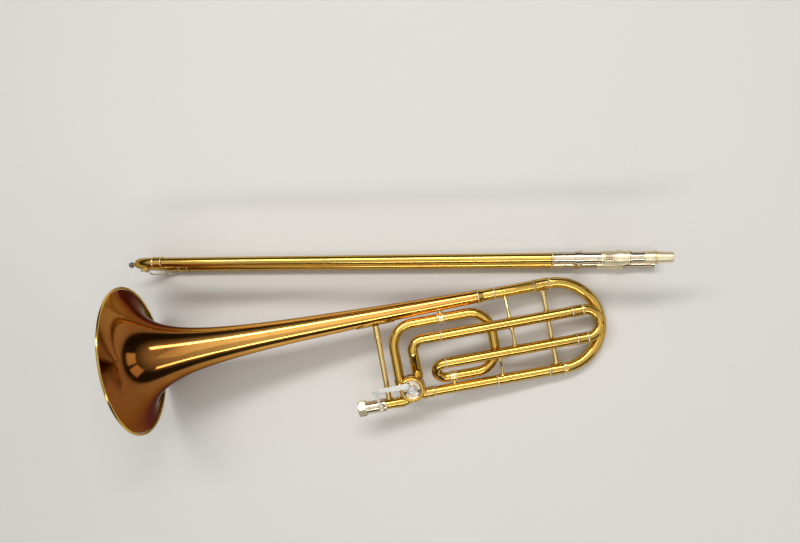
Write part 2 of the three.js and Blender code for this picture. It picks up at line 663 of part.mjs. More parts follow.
function rotorGroup() {
  const group = new THREE.Group();
  const { half } = CASING;
  const capTop = half + GAP + CAP_HEIGHT;
  const spindleTop = LINKAGE_Z - 2.6;
  const body = turned(
    [
      [0, -half + 0.4], [ROTOR_RADIUS, -half + 0.4], [ROTOR_RADIUS, half - 0.4],
      [SPINDLE_RADIUS, half - 0.4], [SPINDLE_RADIUS, spindleTop], [0, spindleTop],
    ],
    v3(0, 0),
    v3(0, 0, 1),
    20,
  );
  const passages = [1, -1].map((sign) => pipe(passageRoute(sign), PASSAGE_RADIUS));
  const rotor = cut(body, ...passages).translate(ROTOR.x, ROTOR.y, 0);
  const restPin = degrees(135);
  const pin = v3(
    ROTOR.x + STOP_PIN_RADIUS * Math.cos(restPin),
    ROTOR.y + STOP_PIN_RADIUS * Math.sin(restPin),
  );
  const tailAngle = restPin + Math.PI;
  const tail = v3(ROTOR.x + 9 * Math.cos(tailAngle), ROTOR.y + 9 * Math.sin(tailAngle));
  const armZ = capTop - 1.4 + 1.6;
  const armTop = spindleTop + GAP;
  const arm = join(
    plate(barOutline(tail, pin, 2.6, 2.9), armZ, 2.4),
    rod(v3(ROTOR.x, ROTOR.y, armZ), v3(ROTOR.x, ROTOR.y, armTop + 1), 5.4, 0, 16),
    rod(v3(pin.x, pin.y, armZ), v3(pin.x, pin.y, LINKAGE_Z + 1.4), PIN_RADIUS, 0, 10),
  );
  const bore = rod(v3(ROTOR.x, ROTOR.y, 0), v3(ROTOR.x, ROTOR.y, spindleTop + GAP), SPINDLE_RADIUS + GAP);
  const screwHole = rod(v3(ROTOR.x, ROTOR.y, 0), v3(ROTOR.x, ROTOR.y, 60), 1.4, 0, 10);
  const screwFrom = v3(ROTOR.x, ROTOR.y, armTop + 1 + GAP);
  const screw = turned([[0, 0], [3, 0], [3, 1.2], [2.1, 1.9], [0, 1.9]], screwFrom,
    v3(screwFrom.x, screwFrom.y, 99), 14);
  group.add(
    named("rotor", rotor, BRASS),
    named("stop_arm", cut(arm, bore, screwHole), CHROME),
    named("stop_arm_screw", screw, CHROME),
  );
  return group;
}

// ---------------------------------------------------------------- thumb lever

const leverPin = () => {
  const rest = degrees(90 + LEVER_SWING / 2);
  return v3(
    LEVER_PIVOT.x + LEVER_PIN_RADIUS * Math.cos(rest),
    LEVER_PIVOT.y + LEVER_PIN_RADIUS * Math.sin(rest),
    LINKAGE_Z,
  );
};

// A post on the neckpipe that carries the lever's pivot.
function leverBracket() {
  const { x, y } = LEVER_PIVOT;
  const centre = v3(x, RECEIVER_Y);
  const post = rod(v3(x, y, 5), v3(x, y, LINKAGE_Z - 4.6), 3.4, 0, 14);
  const pivot = rod(v3(x, y, LINKAGE_Z - 5), v3(x, y, LINKAGE_Z + 2.6), PIN_RADIUS, 0, 10);
  const head = rod(v3(x, y, LINKAGE_Z + 1.8), v3(x, y, LINKAGE_Z + 3.2), 2.9, 0, 14);
  const clear = rod(v3(x - 14, RECEIVER_Y), v3(x + 14, RECEIVER_Y), RECEIVER.outer + 0.5 + GAP, 0, 24);
  const hug = saddle(centre, v3(1, 0), RECEIVER.outer + 0.5, v3(x, RECEIVER_Y, 10), 7, 6, 1.2);
  return named("lever_bracket", join(cut(post, clear), hug, pivot, head), NICKEL);
}

// An arm from the pivot to the link's stud, with an upright paddle for the thumb beside the stud.
function thumbLever() {
  const group = new THREE.Group();
  const pin = leverPin();
  const { x, y } = LEVER_PIVOT;
  const base = LINKAGE_Z - 4.3;
  const paddleFoot = 11;
  const shoulder = v3(x - 5.6, y + 21);
  const arm = plate(barOutline(v3(x, y), pin, 1.9, 1.9), base, 2.4);
  const boss = rod(v3(pin.x, pin.y, base), v3(pin.x, pin.y, base + 2.4), 2.9, 0, 14);
  const hub = rod(v3(x, y, base), v3(x, y, LINKAGE_Z + 1.4), 3.6, 0, 14);
  const web = plate(barOutline(v3(x - 2.2, y + 8.2), shoulder, 1.2, 1.2), 17, base - 16);
  const paddle = plate(
    barOutline(shoulder, v3(x + 9, y + 20.6), 1.2, 1.2),
    paddleFoot,
    base - paddleFoot + 1,
  );
  const stud = rod(v3(pin.x, pin.y, base), v3(pin.x, pin.y, LINKAGE_Z + 1.4), PIN_RADIUS, 0, 10);
  const bore = rod(v3(x, y, 0), v3(x, y, 60), 1.8, 0, 12);
  const lever = cut(join(arm, boss, hub, web, paddle, stud), bore);
  group.add(named("thumb_lever", lever, CHROME), leverLink());
  return group;
}

// A thin bar from the lever's stud to the stop arm's pin, where its eye is oval.
function leverLink() {
  const pin = leverPin();
  const end = v3(pin.x + LINK_LENGTH, pin.y);
  const outline = barOutline(pin, end, 2.8, 4.2);
  const holes = [
    { x: pin.x, y: pin.y, rx: PIN_RADIUS + GAP, ry: PIN_RADIUS + GAP },
    { x: end.x, y: end.y, rx: PIN_RADIUS + 0.7, ry: PIN_RADIUS + 1.5 },
  ];
  return named("lever_link", plate(outline, LINKAGE_Z - 0.9, 2, holes), CHROME);
}

// ---------------------------------------------------------------- hand slide

const SLIDE_LOW_Z = SLIDE_FLOOR;
const SLIDE_HIGH_Z = SLIDE_FLOOR + SLIDE_SPACING;

function corkBarrel(name, z, lockSeat) {
  const { start, end, outer, ring } = BARREL;
  const inner = OUTER_TUBE.outer + 0.5;
  const seat = LOCK_RING.inner - GAP;
  const body = lockSeat
    ? [[ring - 0.4, start], [ring - 0.4, LOCK_RING.start - GAP], [seat, LOCK_RING.start - GAP],
      [seat, LOCK_RING.end + GAP], [outer, LOCK_RING.end + GAP]]
    : [[ring - 0.4, start], [ring - 0.4, start + 2.5], [outer, start + 2.5]];
  const profile = [
    [inner, start], ...body, [outer, end - 2.5], [ring, end - 2.5], [ring, end], [INNER_TUBE.outer + GAP, end],
    [INNER_TUBE.outer + GAP, end - 14], [inner, end - 14], [inner, start],
  ];
  return named(name, turnedX(profile, 0, z, 16), NICKEL);
}

function innerSlideTube(name, z) {
  const { outer, inner } = INNER_TUBE;
  const from = v3(CROOK_FERRULE_END_X + 4, 0, z);
  return named(name, rod(from, v3(BARREL.end + 0.2, 0, z), outer, inner, 14), CHROME);
}

// A brace across the two legs of the slide with a grip rod and a collar round each leg.
function slideBrace(name, x, inner, outer, halfLength, radius) {
  const collar = (z) => rod(v3(x - halfLength, 0, z), v3(x + halfLength, 0, z), outer, inner, 16);
  const top = SLIDE_HIGH_Z - outer + 0.6;
  const bottom = SLIDE_LOW_Z + outer - 0.6;
  const length = top - bottom;
  const shaft = turned(
    [
      [0, 0], [radius + 1.6, 0], [radius + 1.2, 3], [radius, 6], [radius, length - 6],
      [radius + 1.2, length - 3], [radius + 1.6, length], [0, length],
    ],
    v3(x, 0, bottom),
    v3(x, 0, top),
    12,
  );
  return named(name, join(collar(SLIDE_LOW_Z), collar(SLIDE_HIGH_Z), shaft), NICKEL);
}

function bellTenon() {
  const start = BARREL.end + GAP;
  const profile = [
    [6.3, start], [9.4, start], [9.4, start + 1.8], [7.9, start + 1.8], [7.9, 781.5], [8.9, 782],
    [8.9, 791.8], [9.3, 791.8], [9.3, 798.2], [8, 798.2], [7.4, TENON_TIP_X - 1.2],
    [7.1, TENON_TIP_X], [6.3, TENON_TIP_X], [6.3, start],
  ];
  return named("bell_tenon", turnedX(profile, 0, SLIDE_HIGH_Z, 16), NICKEL);
}

function mouthpieceReceiver() {
  const start = BARREL.end + GAP;
  const end = 806;
  const profile = [
    [6, start], [9.8, start], [9.8, start + 1.8], [8, start + 1.8], [8, end - 6], [9.2, end - 5],
    [9.2, end], [6.9, end], [6, end - 30], [6, start],
  ];
  return named("mouthpiece_receiver", turnedX(profile, 0, SLIDE_LOW_Z, 16), NICKEL);
}

function innerSlide() {
  const group = new THREE.Group();
  const collarInner = BARREL.outer + GAP;
  group.add(
    corkBarrel("cork_barrel_bell_side", SLIDE_HIGH_Z, true),
    corkBarrel("cork_barrel_mouthpiece_side", SLIDE_LOW_Z, false),
    innerSlideTube("inner_tube_bell_side", SLIDE_HIGH_Z),
    innerSlideTube("inner_tube_mouthpiece_side", SLIDE_LOW_Z),
    slideBrace("inner_slide_brace", INNER_BRACE_X, collarInner, INNER_COLLAR, 4.5, 3.6),
    bellTenon(),
    mouthpieceReceiver(),
  );
  return group;
}

// The lock ring turns on the barrel. Three grooves along its top give the fingers a hold.
function slideLock() {
  const { start, end, outer, inner } = LOCK_RING;
  const ring = rod(v3(start, 0, 0), v3(end, 0, 0), outer, inner, 36);
  const grooves = [-18, 0, 18].map((angle) =>
    new THREE.BoxGeometry(end - start - 3, 1, 2)
      .translate((start + end) / 2, 0, outer + 0.5)
      .rotateX(degrees(angle)),
  );
  const group = new THREE.Group();
  group.add(named("slide_lock", cut(ring, ...grooves), NICKEL));
  group.position.z = SLIDE_HIGH_Z;
  return group;
}

function outerTube(name, z) {
  const { outer, inner } = OUTER_TUBE;
  const ring = outer + 0.9;
  const from = CROOK_FERRULE_END_X + GAP;
  const end = BARREL.start + 20;
  const profile = [
    [inner, from], [outer, from], [outer, OVERSLEEVE.start - 3.4], [ring, OVERSLEEVE.start - 3.4],
    [ring, OVERSLEEVE.start - GAP], [outer, OVERSLEEVE.start - GAP], [outer, end], [inner, end], [inner, from],
  ];
  return named(name, turnedX(profile, 0, z), BRASS);
}

function oversleeve(name, z) {
  const { start, end, outer } = OVERSLEEVE;
  return named(name, rod(v3(start, 0, z), v3(end, 0, z), outer, OUTER_TUBE.outer + GAP, 18), NICKEL);
}

// The crook with its two ferrules, and the guard plate and water-key saddle soldered on it.
function slideCrook() {
  const tipX = CROOK_X - CROOK_BEND;
  const corners = [
    v3(CROOK_FERRULE_END_X, 0, SLIDE_HIGH_Z), v3(tipX, 0, SLIDE_HIGH_Z),
    v3(tipX, 0, SLIDE_LOW_Z), v3(CROOK_FERRULE_END_X, 0, SLIDE_LOW_Z),
  ];
  const route = new PipeRoute(corners, CROOK_BEND);
  const tube = pipe(route, CROOK_TUBE.outer, CROOK_TUBE.inner);
  const from = CROOK_X + 0.2;
  const to = CROOK_FERRULE_END_X - 0.1;
  const collars = [SLIDE_HIGH_Z, SLIDE_LOW_Z].map((z) =>
    turnedX(
      [
        [7.25, from], [8.9, from], [8.9, from + 2.2], [8.3, from + 2.2], [8.3, to - 2.2],
        [8.9, to - 2.2], [8.9, to], [7.25, to], [7.25, from],
      ],
      0,
      z,
    ),
  );
  const seatX = tipX - 6.8;
  const bumperSeat = turned(
    [
      [0, 0], [6, 0], [5.2, 3.6], [3, 5], [2.6, 5.4], [2.6, seatX - BUMPER_BASE_X - GAP],
      [0, seatX - BUMPER_BASE_X - GAP],
    ],
    v3(seatX, 0, MID_Z),
    v3(BUMPER_TIP_X, 0, MID_Z),
    16,
  );
  return named("slide_crook", join(tube, ...collars, bumperSeat, ...waterKeySaddle()), BRASS);
}

const MID_Z = (SLIDE_LOW_Z + SLIDE_HIGH_Z) / 2;
const KEY_PIVOT = v3(35, -11.8, SLIDE_HIGH_Z - 4.2);

// Two ears beside the crook that hold the water key's hinge pin, and the nipple it closes.
function waterKeySaddle() {
  const { x, y, z } = KEY_PIVOT;
  const ear = (side) =>
    new THREE.BoxGeometry(5, 8.4, 1.4).translate(x, y + 2.8, z + side * 4.4);
  const pin = rod(v3(x, y, z - 5.4), v3(x, y, z + 5.4), 1, 0, 8);
  const base = new THREE.BoxGeometry(4.6, 2.4, 10.6).translate(x, y + 5.6, z);
  const nipple = rod(v3(x - 7.6, -5, z - 1), v3(x - 7.6, y + 2.6, z - 1), 2.6, 0, 10);
  return [ear(1), ear(-1), pin, base, nipple];
}

function bumper() {
  const length = BUMPER_BASE_X - BUMPER_TIP_X;
  const profile = [[0, 0], [2.6, 0], [4, 1.2], [4.6, 3], [4.6, length - 1.2], [3.8, length], [0, length]];
  const tip = v3(BUMPER_TIP_X, 0, MID_Z);
  return named("slide_bumper", turned(profile, tip, v3(0, 0, MID_Z), 18), RUBBER);
}

function waterKey() {
  const group = new THREE.Group();
  const { x, y, z } = KEY_PIVOT;
  const flat = (from, to, r1, r2) => plate(barOutline(from, to, r1, r2, 3), z - 2.2, 4.4);
  const bend = v3(x + 8, y - 6.2);
  const tip = v3(x + 40, y - 6.2);
  const cup = v3(x - 8.4, y - 0.2);
  const hub = rod(v3(x, y, z - 3.3), v3(x, y, z + 3.3), 2.2, 0, 12);
  const pad = new THREE.CylinderGeometry(4.4, 4.4, 2.2, 12).translate(tip.x, tip.y, z);
  const bore = rod(v3(x, y, z - 9), v3(x, y, z + 9), 1 + GAP, 0, 12);
  const lever = join(hub, flat(v3(x, y), bend, 1.8, 1.3), flat(bend, tip, 1.3, 1.1), pad,
    flat(v3(x, y), cup, 1.8, 1.4));
  group.add(named("water_key", cut(lever, bore), NICKEL));
  return group;
}

function outerSlide() {
  const group = new THREE.Group();
  group.add(
    outerTube("outer_tube_bell_side", SLIDE_HIGH_Z),
    outerTube("outer_tube_mouthpiece_side", SLIDE_LOW_Z),
    oversleeve("oversleeve_bell_side", SLIDE_HIGH_Z),
    oversleeve("oversleeve_mouthpiece_side", SLIDE_LOW_Z),
    slideBrace("outer_slide_brace", OUTER_BRACE_X, OVERSLEEVE.outer + GAP, OVERSLEEVE.outer + 1.3, 5, 3.6),
    slideCrook(),
    bumper(),
    waterKey(),
  );
  return group;
}

// ---------------------------------------------------------------- assembly

function bellSection() {
  const group = new THREE.Group();
  const { half } = CASING;
  group.add(
    bell(),
    bellRimWire(),
    bellTailFerrule(),
    sleeve("bell_side_slide_tube", 0, 0, TAIL_FERRULE_END_X + GAP, SLEEVE_END_X, BELL_SLEEVE),
    sleeve("neck_side_slide_tube", NECK_Y, 0, NECK_SLEEVE_X, SLEEVE_END_X, NECK_SLEEVE),
    ...neckpipe(),
    slideReceiver(),
    lockNut(),
    ...bellBrace(),
    ...attachmentTubes(),
    ...tubeBraces(),
    nearSaddle("loop_saddle_upper", 473.5, 0, flareRadius(470) + 0.2, LOOP_TOP_Y, LOOP_TUBE.outer + 0.7),
    nearSaddle("loop_saddle_lower", 475.9, LOOP_BOTTOM_Y, LOOP_TUBE.outer + 0.7, NECK_Y, NECK_TUBE.outer),
    rotorCasing(),
    casingCap("casing_back_cap", -half - GAP, -half - GAP - CAP_HEIGHT, false),
    casingCap("casing_front_cap", half + GAP, half + GAP + CAP_HEIGHT, true),
    stopBumper("stop_bumper_rest", degrees(342)),
    stopBumper("stop_bumper_engaged", degrees(198)),
    leverBracket(),
    rotorGroup(),
    thumbLever(),
    mainTuningSlide(),
    attachmentTuningSlide(),
  );
  group.rotation.set(degrees(BELL_ROLL), degrees(BELL_PITCH), degrees(BELL_YAW), "ZYX");
  group.position.copy(BELL_PLACE);
  return group;
}

const handSlide = new THREE.Group();
handSlide.add(innerSlide(), slideLock(), outerSlide());

const trombone = new THREE.Group();
trombone.add(bellSection(), handSlide);

// The origin is on the floor, under the middle of the whole.
const extent = new THREE.Box3().setFromObject(trombone, true);
const middle = extent.getCenter(v3(0, 0));
trombone.position.set(-middle.x, -middle.y, -extent.min.z);

export default trombone;
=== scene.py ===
"""A trombone stored in its two sections: the looks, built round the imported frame.

Blender works in metres. The shapes below are in millimetres, in each section's own frame: the bell
section's origin is the centre of the rim with +X along the bell, and the hand slide's is under
its bow with +X towards the tenon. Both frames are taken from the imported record."""

import json
import math

import bmesh
import bpy
from mathutils import Matrix, Vector


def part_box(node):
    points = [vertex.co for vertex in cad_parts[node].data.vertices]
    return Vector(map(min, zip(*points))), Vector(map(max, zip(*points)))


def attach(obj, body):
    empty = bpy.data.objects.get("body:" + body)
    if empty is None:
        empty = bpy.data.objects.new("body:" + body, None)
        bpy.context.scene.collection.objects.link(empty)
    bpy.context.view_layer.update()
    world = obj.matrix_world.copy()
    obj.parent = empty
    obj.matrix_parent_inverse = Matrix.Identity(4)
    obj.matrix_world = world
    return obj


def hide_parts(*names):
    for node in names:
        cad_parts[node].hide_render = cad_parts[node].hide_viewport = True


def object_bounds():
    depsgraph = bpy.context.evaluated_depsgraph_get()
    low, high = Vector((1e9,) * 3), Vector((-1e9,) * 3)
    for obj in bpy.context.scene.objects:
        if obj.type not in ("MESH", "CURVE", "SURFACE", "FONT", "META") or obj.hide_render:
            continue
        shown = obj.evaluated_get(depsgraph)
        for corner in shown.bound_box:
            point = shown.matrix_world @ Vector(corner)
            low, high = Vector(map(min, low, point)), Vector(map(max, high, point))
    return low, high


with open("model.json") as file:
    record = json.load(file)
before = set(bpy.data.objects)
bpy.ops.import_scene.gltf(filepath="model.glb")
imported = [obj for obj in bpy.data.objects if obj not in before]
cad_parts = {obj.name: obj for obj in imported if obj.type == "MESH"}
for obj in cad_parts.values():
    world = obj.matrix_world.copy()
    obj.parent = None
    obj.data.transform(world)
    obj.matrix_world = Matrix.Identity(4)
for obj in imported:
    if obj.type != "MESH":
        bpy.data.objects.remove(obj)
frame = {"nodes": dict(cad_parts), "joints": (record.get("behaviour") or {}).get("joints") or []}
cad_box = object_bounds()

# ---------------- dimensions, as in the CAD

MM = 0.001
GAP = 0.3
ROUND = 64  # sides of an ordinary tube
BEND_STEPS = 14  # in a right-angle bend

RIM_RADIUS = 114.3
RIM_WIRE = 1.9
LIP_RADIUS = 110.1
FLARE_START = 21.6
FLARE_POWER = 0.705
BELL_WALL = 0.8
STEM_TAPER = 0.0078
STEM_TAPER_X = 315
BELL_END_X = 531.5
TAIL_FERRULE_END_X = 559.7

NECK_Y = -127.8
SLEEVE_END_X = 619
NECK_SLEEVE_X = 538.8
MAIN_FERRULE_END_X = 641
MAIN_BRACE_X = 630
BOW_TUBE = (8, 7.3)
BELL_SLEEVE = (8.3, 7.6)
BELL_LEG = (7.3, 6.7)
NECK_SLEEVE = (7.8, 7.1)
NECK_LEG = (6.8, 6.2)
NECK_TUBE = (7.2, 6.6)
NECK_RINGS_X = (432.6, 445.6)
BELL_FERRULE = 8.7
NECK_FERRULE = 8.5

F_LEVEL = 17.4
F_UPPER_Y = -46.5
F_LOWER_Y = -87.4
F_TUBE_X = 467.5
F_SLEEVE_END_X = 665
F_FERRULE_END_X = 680
F_SLEEVE = (7.8, 7.2)
F_LEG = (6.9, 6.3)
F_FERRULE = 8.2
F_BRACE_X = 573
NECK_BRACE_X = 548.5
LOOP_TUBE = (7.4, 6.8)
LOOP_TOP_Y = -21.8
LOOP_BOTTOM_Y = -110.4
LOOP_RIGHT_X = 545
LOOP_BEND = 33
LOOP_RETURN_X = 452.5
LOOP_FERRULE = 8.1
LOOP_UPPER_FERRULE = (468.4, 478.6)
LOOP_LOWER_FERRULE = (470.6, 481.2)

ROTOR = Vector((412, -117, 0))
CASING_OUTER = 19
CASING_INNER = 16.8
CASING_HALF = 15.5
PORT_NEAR = 11.4
PORT_FAR = 16.4
CAP_HEIGHT = 5
CAP_RADIUS = 17.4
SPINDLE_RADIUS = 3.2
STOP_BUMPER_REACH = 10.9
STOP_PIN_REST = math.radians(135)

LEVER_SWING = 30
STOP_PIN_RADIUS = 9.4
LEVER_PIN_RADIUS = 26
LINK_LENGTH = 48
LINKAGE_Z = 28.5
LEVER_PIVOT = Vector((364, ROTOR.y + STOP_PIN_RADIUS * 0.854 - LEVER_PIN_RADIUS * 0.983, LINKAGE_Z))
PIN_RADIUS = 1.5
PADDLE_FOOT_Z = 11

RECEIVER_Y = -134.6
RECEIVER_X = 326.5
RECEIVER_END_X = 367.6
RECEIVER_OUTER = 9.3
NUT_FRONT = 2
NUT_LENGTH = 12
NUT_ACROSS = 12.6

BELL_BRACE_X = 374.5
BELL_BRACE_RADIUS = 4.2
BELL_SOCKET_RADIUS = 4.9

BUMPER_TIP_X = -20
BUMPER_BASE_X = -13
TENON_SEAM_X = 780.4
TENON_THREAD_X = (793.1, 798.2)
TENON_TIP_X = 818
TENON_BORE = 6.3
MOUTHPIECE_END_X = 806
CROOK_BEND = 42
CROOK_X = 47.6
CROOK_FERRULE_END_X = 64.5
OUTER_TUBE = (7.6, 7.15)
INNER_TUBE = (6.8, 6.3)
CROOK_TUBE = (7.6, 6.9)
OVERSLEEVE_X = (661, 723.4)
OVERSLEEVE_RADIUS = 8.3
BARREL_X = (724, 761.6)
BARREL_RADIUS = 9.4
BARREL_RING = 9.8
INNER_COLLAR = 10.7
OUTER_BRACE_X = 694
INNER_BRACE_X = 749
LOCK_RING_X = (727.4, 740.4)
LOCK_RING_RADIUS = 9.9
LOCK_RING_INNER = 8.9
LOCK_GROOVES = (-18, 0, 18)

# ---------------- the two sections' frames

JOINTS = {joint["name"]: joint for joint in frame["joints"]}


def section_frame(x_axis, z_axis, known, at):
    """Takes a section's millimetres to the part's metres, from two axes and one known point."""
    x = Vector(x_axis).normalized()
    z = Vector(z_axis).normalized()
    turn = Matrix((x, z.cross(x), z)).transposed()
    origin = Vector(at) - turn @ (known * MM)
    return Matrix.Translation(origin) @ turn.to_4x4() @ Matrix.Scale(MM, 4)


def middle_of(node):
    low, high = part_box(node)
    return (low + high) / 2


BELL = section_frame(
    JOINTS["main_tuning_slide_pull"]["axis"],
    -Vector(JOINTS["thumb_lever_press"]["axis"]),
    ROTOR,
    JOINTS["rotor_turn"]["pos_m"],
)
HIGH_Z = middle_of("bell_tenon").z / MM
LOW_Z = middle_of("mouthpiece_receiver").z / MM
MID_Z = (HIGH_Z + LOW_Z) / 2
tip_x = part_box("slide_bumper")[0].x - BUMPER_TIP_X * MM
SLIDE = Matrix.Translation((tip_x, middle_of("slide_bumper").y, 0)) @ Matrix.Scale(MM, 4)

# ---------------- materials


class Nodes:
    """A material's node tree, with short calls for what the finishes share."""

    def __init__(self, name):
        self.material = bpy.data.materials.new(name)
        self.material.use_nodes = True
        self.tree = self.material.node_tree
        self.shader = self.tree.nodes["Principled BSDF"]
        self.place = self.new("ShaderNodeTexCoord").outputs["Object"]

    def new(self, kind, inputs=(), **settings):
        """A node with its settings, and the values of its inputs that have no link."""
        node = self.tree.nodes.new(kind)
        for key, value in settings.items():
            setattr(node, key, value)
        for key, value in dict(inputs).items():
            node.inputs[key].default_value = value
        return node

    def link(self, source, target):
        self.tree.links.new(source, target)

    def stretched(self, scale, turn=(0, 0, 0)):
        """Coordinates scaled by axis, for marks that run one way."""
        mapping = self.new("ShaderNodeMapping", {"Scale": scale, "Rotation": turn})
        self.link(self.place, mapping.inputs["Vector"])
        return mapping.outputs["Vector"]

    def noise(self, scale, detail=3, rough=0.55, place=None, distortion=0):
        node = self.new("ShaderNodeTexNoise", {
            "Scale": scale, "Detail": detail, "Roughness": rough, "Distortion": distortion})
        self.link(place or self.place, node.inputs["Vector"])
        return node.outputs["Fac"]

    def spread(self, value, low, high, to_low=0.0, to_high=1.0):
        node = self.new("ShaderNodeMapRange", {
            "From Min": low, "From Max": high, "To Min": to_low, "To Max": to_high})
        self.link(value, node.inputs["Value"])
        return node.outputs["Result"]

    def mixed(self, factor, first, second):
        """A colour between two, which are colours or other nodes' colours."""
        node = self.new("ShaderNodeMix", data_type="RGBA")
        self.link(factor, node.inputs["Factor"])
        for socket, value in ((node.inputs["A"], first), (node.inputs["B"], second)):
            if isinstance(value, tuple):
                socket.default_value = (*value, 1)
            else:
                self.link(value, socket)
        return node.outputs["Result"]

    def sum(self, first, second, share=1.0):
        """The first value plus a share of the second."""
        node = self.new("ShaderNodeMath", {1: share}, operation="MULTIPLY_ADD")
        self.link(second, node.inputs[0])
        self.link(first, node.inputs[2])
        return node.outputs["Value"]

    def bump(self, height, distance):
        node = self.new("ShaderNodeBump", {"Distance": distance, "Strength": 1.0})
        self.link(height, node.inputs["Height"])
        self.link(node.outputs["Normal"], self.shader.inputs["Normal"])

    def set(self, **values):
        for key, value in values.items():
            self.shader.inputs[key.replace("_", " ")].default_value = value


def polished_metal(name, bright, deep, stain, roughness, lines, dark_edge, coat=0.0,
                   freckles=0.58, along=None):
    """A polished metal: cloudy colour, fine stains, smears and hair-fine polishing lines.
    along, two distances on the object's X, has the colour run from a darkened copy of deep below the
    first to bright above the second: painted shade, darkening the flare where it would show dark
    reflections."""
    look = Nodes(name)
    cloud_tone_and_painted_shade = look.noise(9, 3, 0.5)
    # Painted shade: with along, the colour falls to 0.42 of deep towards the first distance. This
    # darkens the flare; it is not a tone of the metal.
    if along:
        split = look.new("ShaderNodeSeparateXYZ")
        look.link(look.place, split.inputs[0])
        cloud_tone_and_painted_shade = look.sum(look.spread(cloud_tone_and_painted_shade, 0.3, 0.7, -0.2, 0.2),
                         look.spread(split.outputs["X"], *along, 1, 0))
        colour = look.mixed(cloud_tone_and_painted_shade, bright, tuple(0.42 * c for c in deep))
    else:
        colour = look.mixed(look.spread(cloud_tone_and_painted_shade, 0.32, 0.68), bright, deep)
    spots = look.noise(420, 4, 0.7, distortion=0.6)
    patches = look.noise(24, 2, 0.5)
    blotch = look.sum(look.spread(spots, freckles, freckles + 0.12, 0, 0.35),
                      look.spread(patches, 0.62, 0.8, 0, 0.25))
    look.link(look.mixed(blotch, colour, stain), look.shader.inputs["Base Color"])
    smears = look.noise(38, 5, 0.62, distortion=1.2)
    grain = look.noise(1, 2, 0.5, place=look.stretched((60, 2600, 2600), (0, 0.14, 0.19)))
    rough = look.sum(look.spread(smears, 0.35, 0.75, *roughness),
                     look.spread(grain, 0.4, 0.7), 0.03)
    look.link(rough, look.shader.inputs["Roughness"])
    look.bump(look.sum(look.spread(smears, 0, 1, 0, 0.12), grain), lines)
    look.set(Metallic=1.0, Specular_Tint=(*dark_edge, 1))
    if coat:
        look.set(Coat_Weight=coat, Coat_Roughness=0.04, Coat_IOR=1.5)
    return look.material


def rubber_look():
    look = Nodes("worn_rubber")
    dust = look.noise(260, 4, 0.7)
    look.link(look.mixed(look.spread(dust, 0.45, 0.75), (0.10, 0.095, 0.09), (0.26, 0.25, 0.235)),
              look.shader.inputs["Base Color"])
    look.link(look.spread(dust, 0.3, 0.8, 0.5, 0.8), look.shader.inputs["Roughness"])
    look.bump(look.noise(1400, 3, 0.6), 0.00006)
    return look.material


def cork_look():
    look = Nodes("natural_cork")
    grain = look.noise(900, 5, 0.75, distortion=0.8)
    colour = look.mixed(look.spread(grain, 0.36, 0.66), (0.11, 0.055, 0.025), (0.52, 0.32, 0.16))
    look.link(colour, look.shader.inputs["Base Color"])
    look.set(Roughness=0.85)
    look.bump(grain, 0.00025)
    return look.material


LOOKS = {
    # The rose brass is darkened towards the bell's rim through along: painted shade on the flare.
    "rose_brass": polished_metal(
        "rose_brass_lacquered", (0.86, 0.46, 0.11), (0.62, 0.20, 0.035), (0.34, 0.11, 0.03),
        (0.07, 0.15), 0.000004, dark_edge=(0.34, 0.26, 0.16), coat=0.12, along=(-0.34, -0.16)),
    "lacquered_brass": polished_metal(
        "yellow_brass_lacquered", (0.80, 0.54, 0.13), (0.68, 0.43, 0.09), (0.42, 0.22, 0.05),
        (0.1, 0.2), 0.000006, dark_edge=(0.34, 0.25, 0.12), coat=0.12),
    "pale_brass": polished_metal(
        "brace_brass_lacquered", (0.96, 0.78, 0.38), (0.9, 0.68, 0.28), (0.6, 0.42, 0.16),
        (0.2, 0.32), 0.000006, dark_edge=(0.6, 0.46, 0.27), coat=0.1),
    "bead_silver": polished_metal(
        "bead_nickel_silver", (0.95, 0.88, 0.66), (0.9, 0.8, 0.56), (0.6, 0.48, 0.26),
        (0.36, 0.5), 0.000006, dark_edge=(0.85, 0.76, 0.56)),
    "nickel_silver": polished_metal(
        "nickel_silver_polished", (0.78, 0.70, 0.56), (0.68, 0.58, 0.43), (0.45, 0.34, 0.2),
        (0.12, 0.24), 0.000006, dark_edge=(0.42, 0.34, 0.24)),
    "chrome_plate": polished_metal(
        "hard_chrome", (0.74, 0.74, 0.735), (0.64, 0.64, 0.63), (0.5, 0.48, 0.45),
        (0.1, 0.2), 0.000003, dark_edge=(0.8, 0.8, 0.8)),
    "rubber": rubber_look(),
    "cork": cork_look(),
}

# ---------------- shape helpers


def soften(profile, radius=0.35):
    """Rounds the corners of a (radius, distance) outline. It is closed when its ends meet."""
    closed = tuple(profile[0]) == tuple(profile[-1])
    points = [Vector(p) for p in (profile[:-1] if closed else profile)]
    soft = []
    for i, corner in enumerate(points):
        if not closed and i in (0, len(points) - 1):
            soft.append(corner)
            continue
        back = points[i - 1] - corner
        on = points[(i + 1) % len(points)] - corner
        reach = min(radius, 0.4 * back.length, 0.4 * on.length)
        start = corner + back.normalized() * reach
        end = corner + on.normalized() * reach
        soft.append(start + back.normalized() * reach * 0.2)
        for step in range(4):
            t = step / 3
            soft.append(start * (1 - t) ** 2 + corner * 2 * t * (1 - t) + end * t**2)
        soft.append(end + on.normalized() * reach * 0.2)
    if closed:
        soft.append(soft[0])
    return soft


def closed(outline):
    """An outline that ends where it starts, for a hollow piece."""
    return [*outline, outline[0]]


def mirrored(half, start, end, middle=()):
    """An outline alike at both ends, from (radius, distance from the nearer end) pairs."""
    back = [(radius, end - distance) for radius, distance in reversed(half)]
    return [(radius, start + distance) for radius, distance in half] + [*middle, *back]


def ring_outline(inner, outer, start, end):
    return closed([(inner, start), (outer, start), (outer, end), (inner, end)])


def across(direction):
    """Two directions square to one direction and to each other."""
    helper = Vector((0, 0, 1)) if abs(direction.z) < 0.9 else Vector((0, 1, 0))
    side = direction.cross(helper).normalized()
    return side, direction.cross(side)


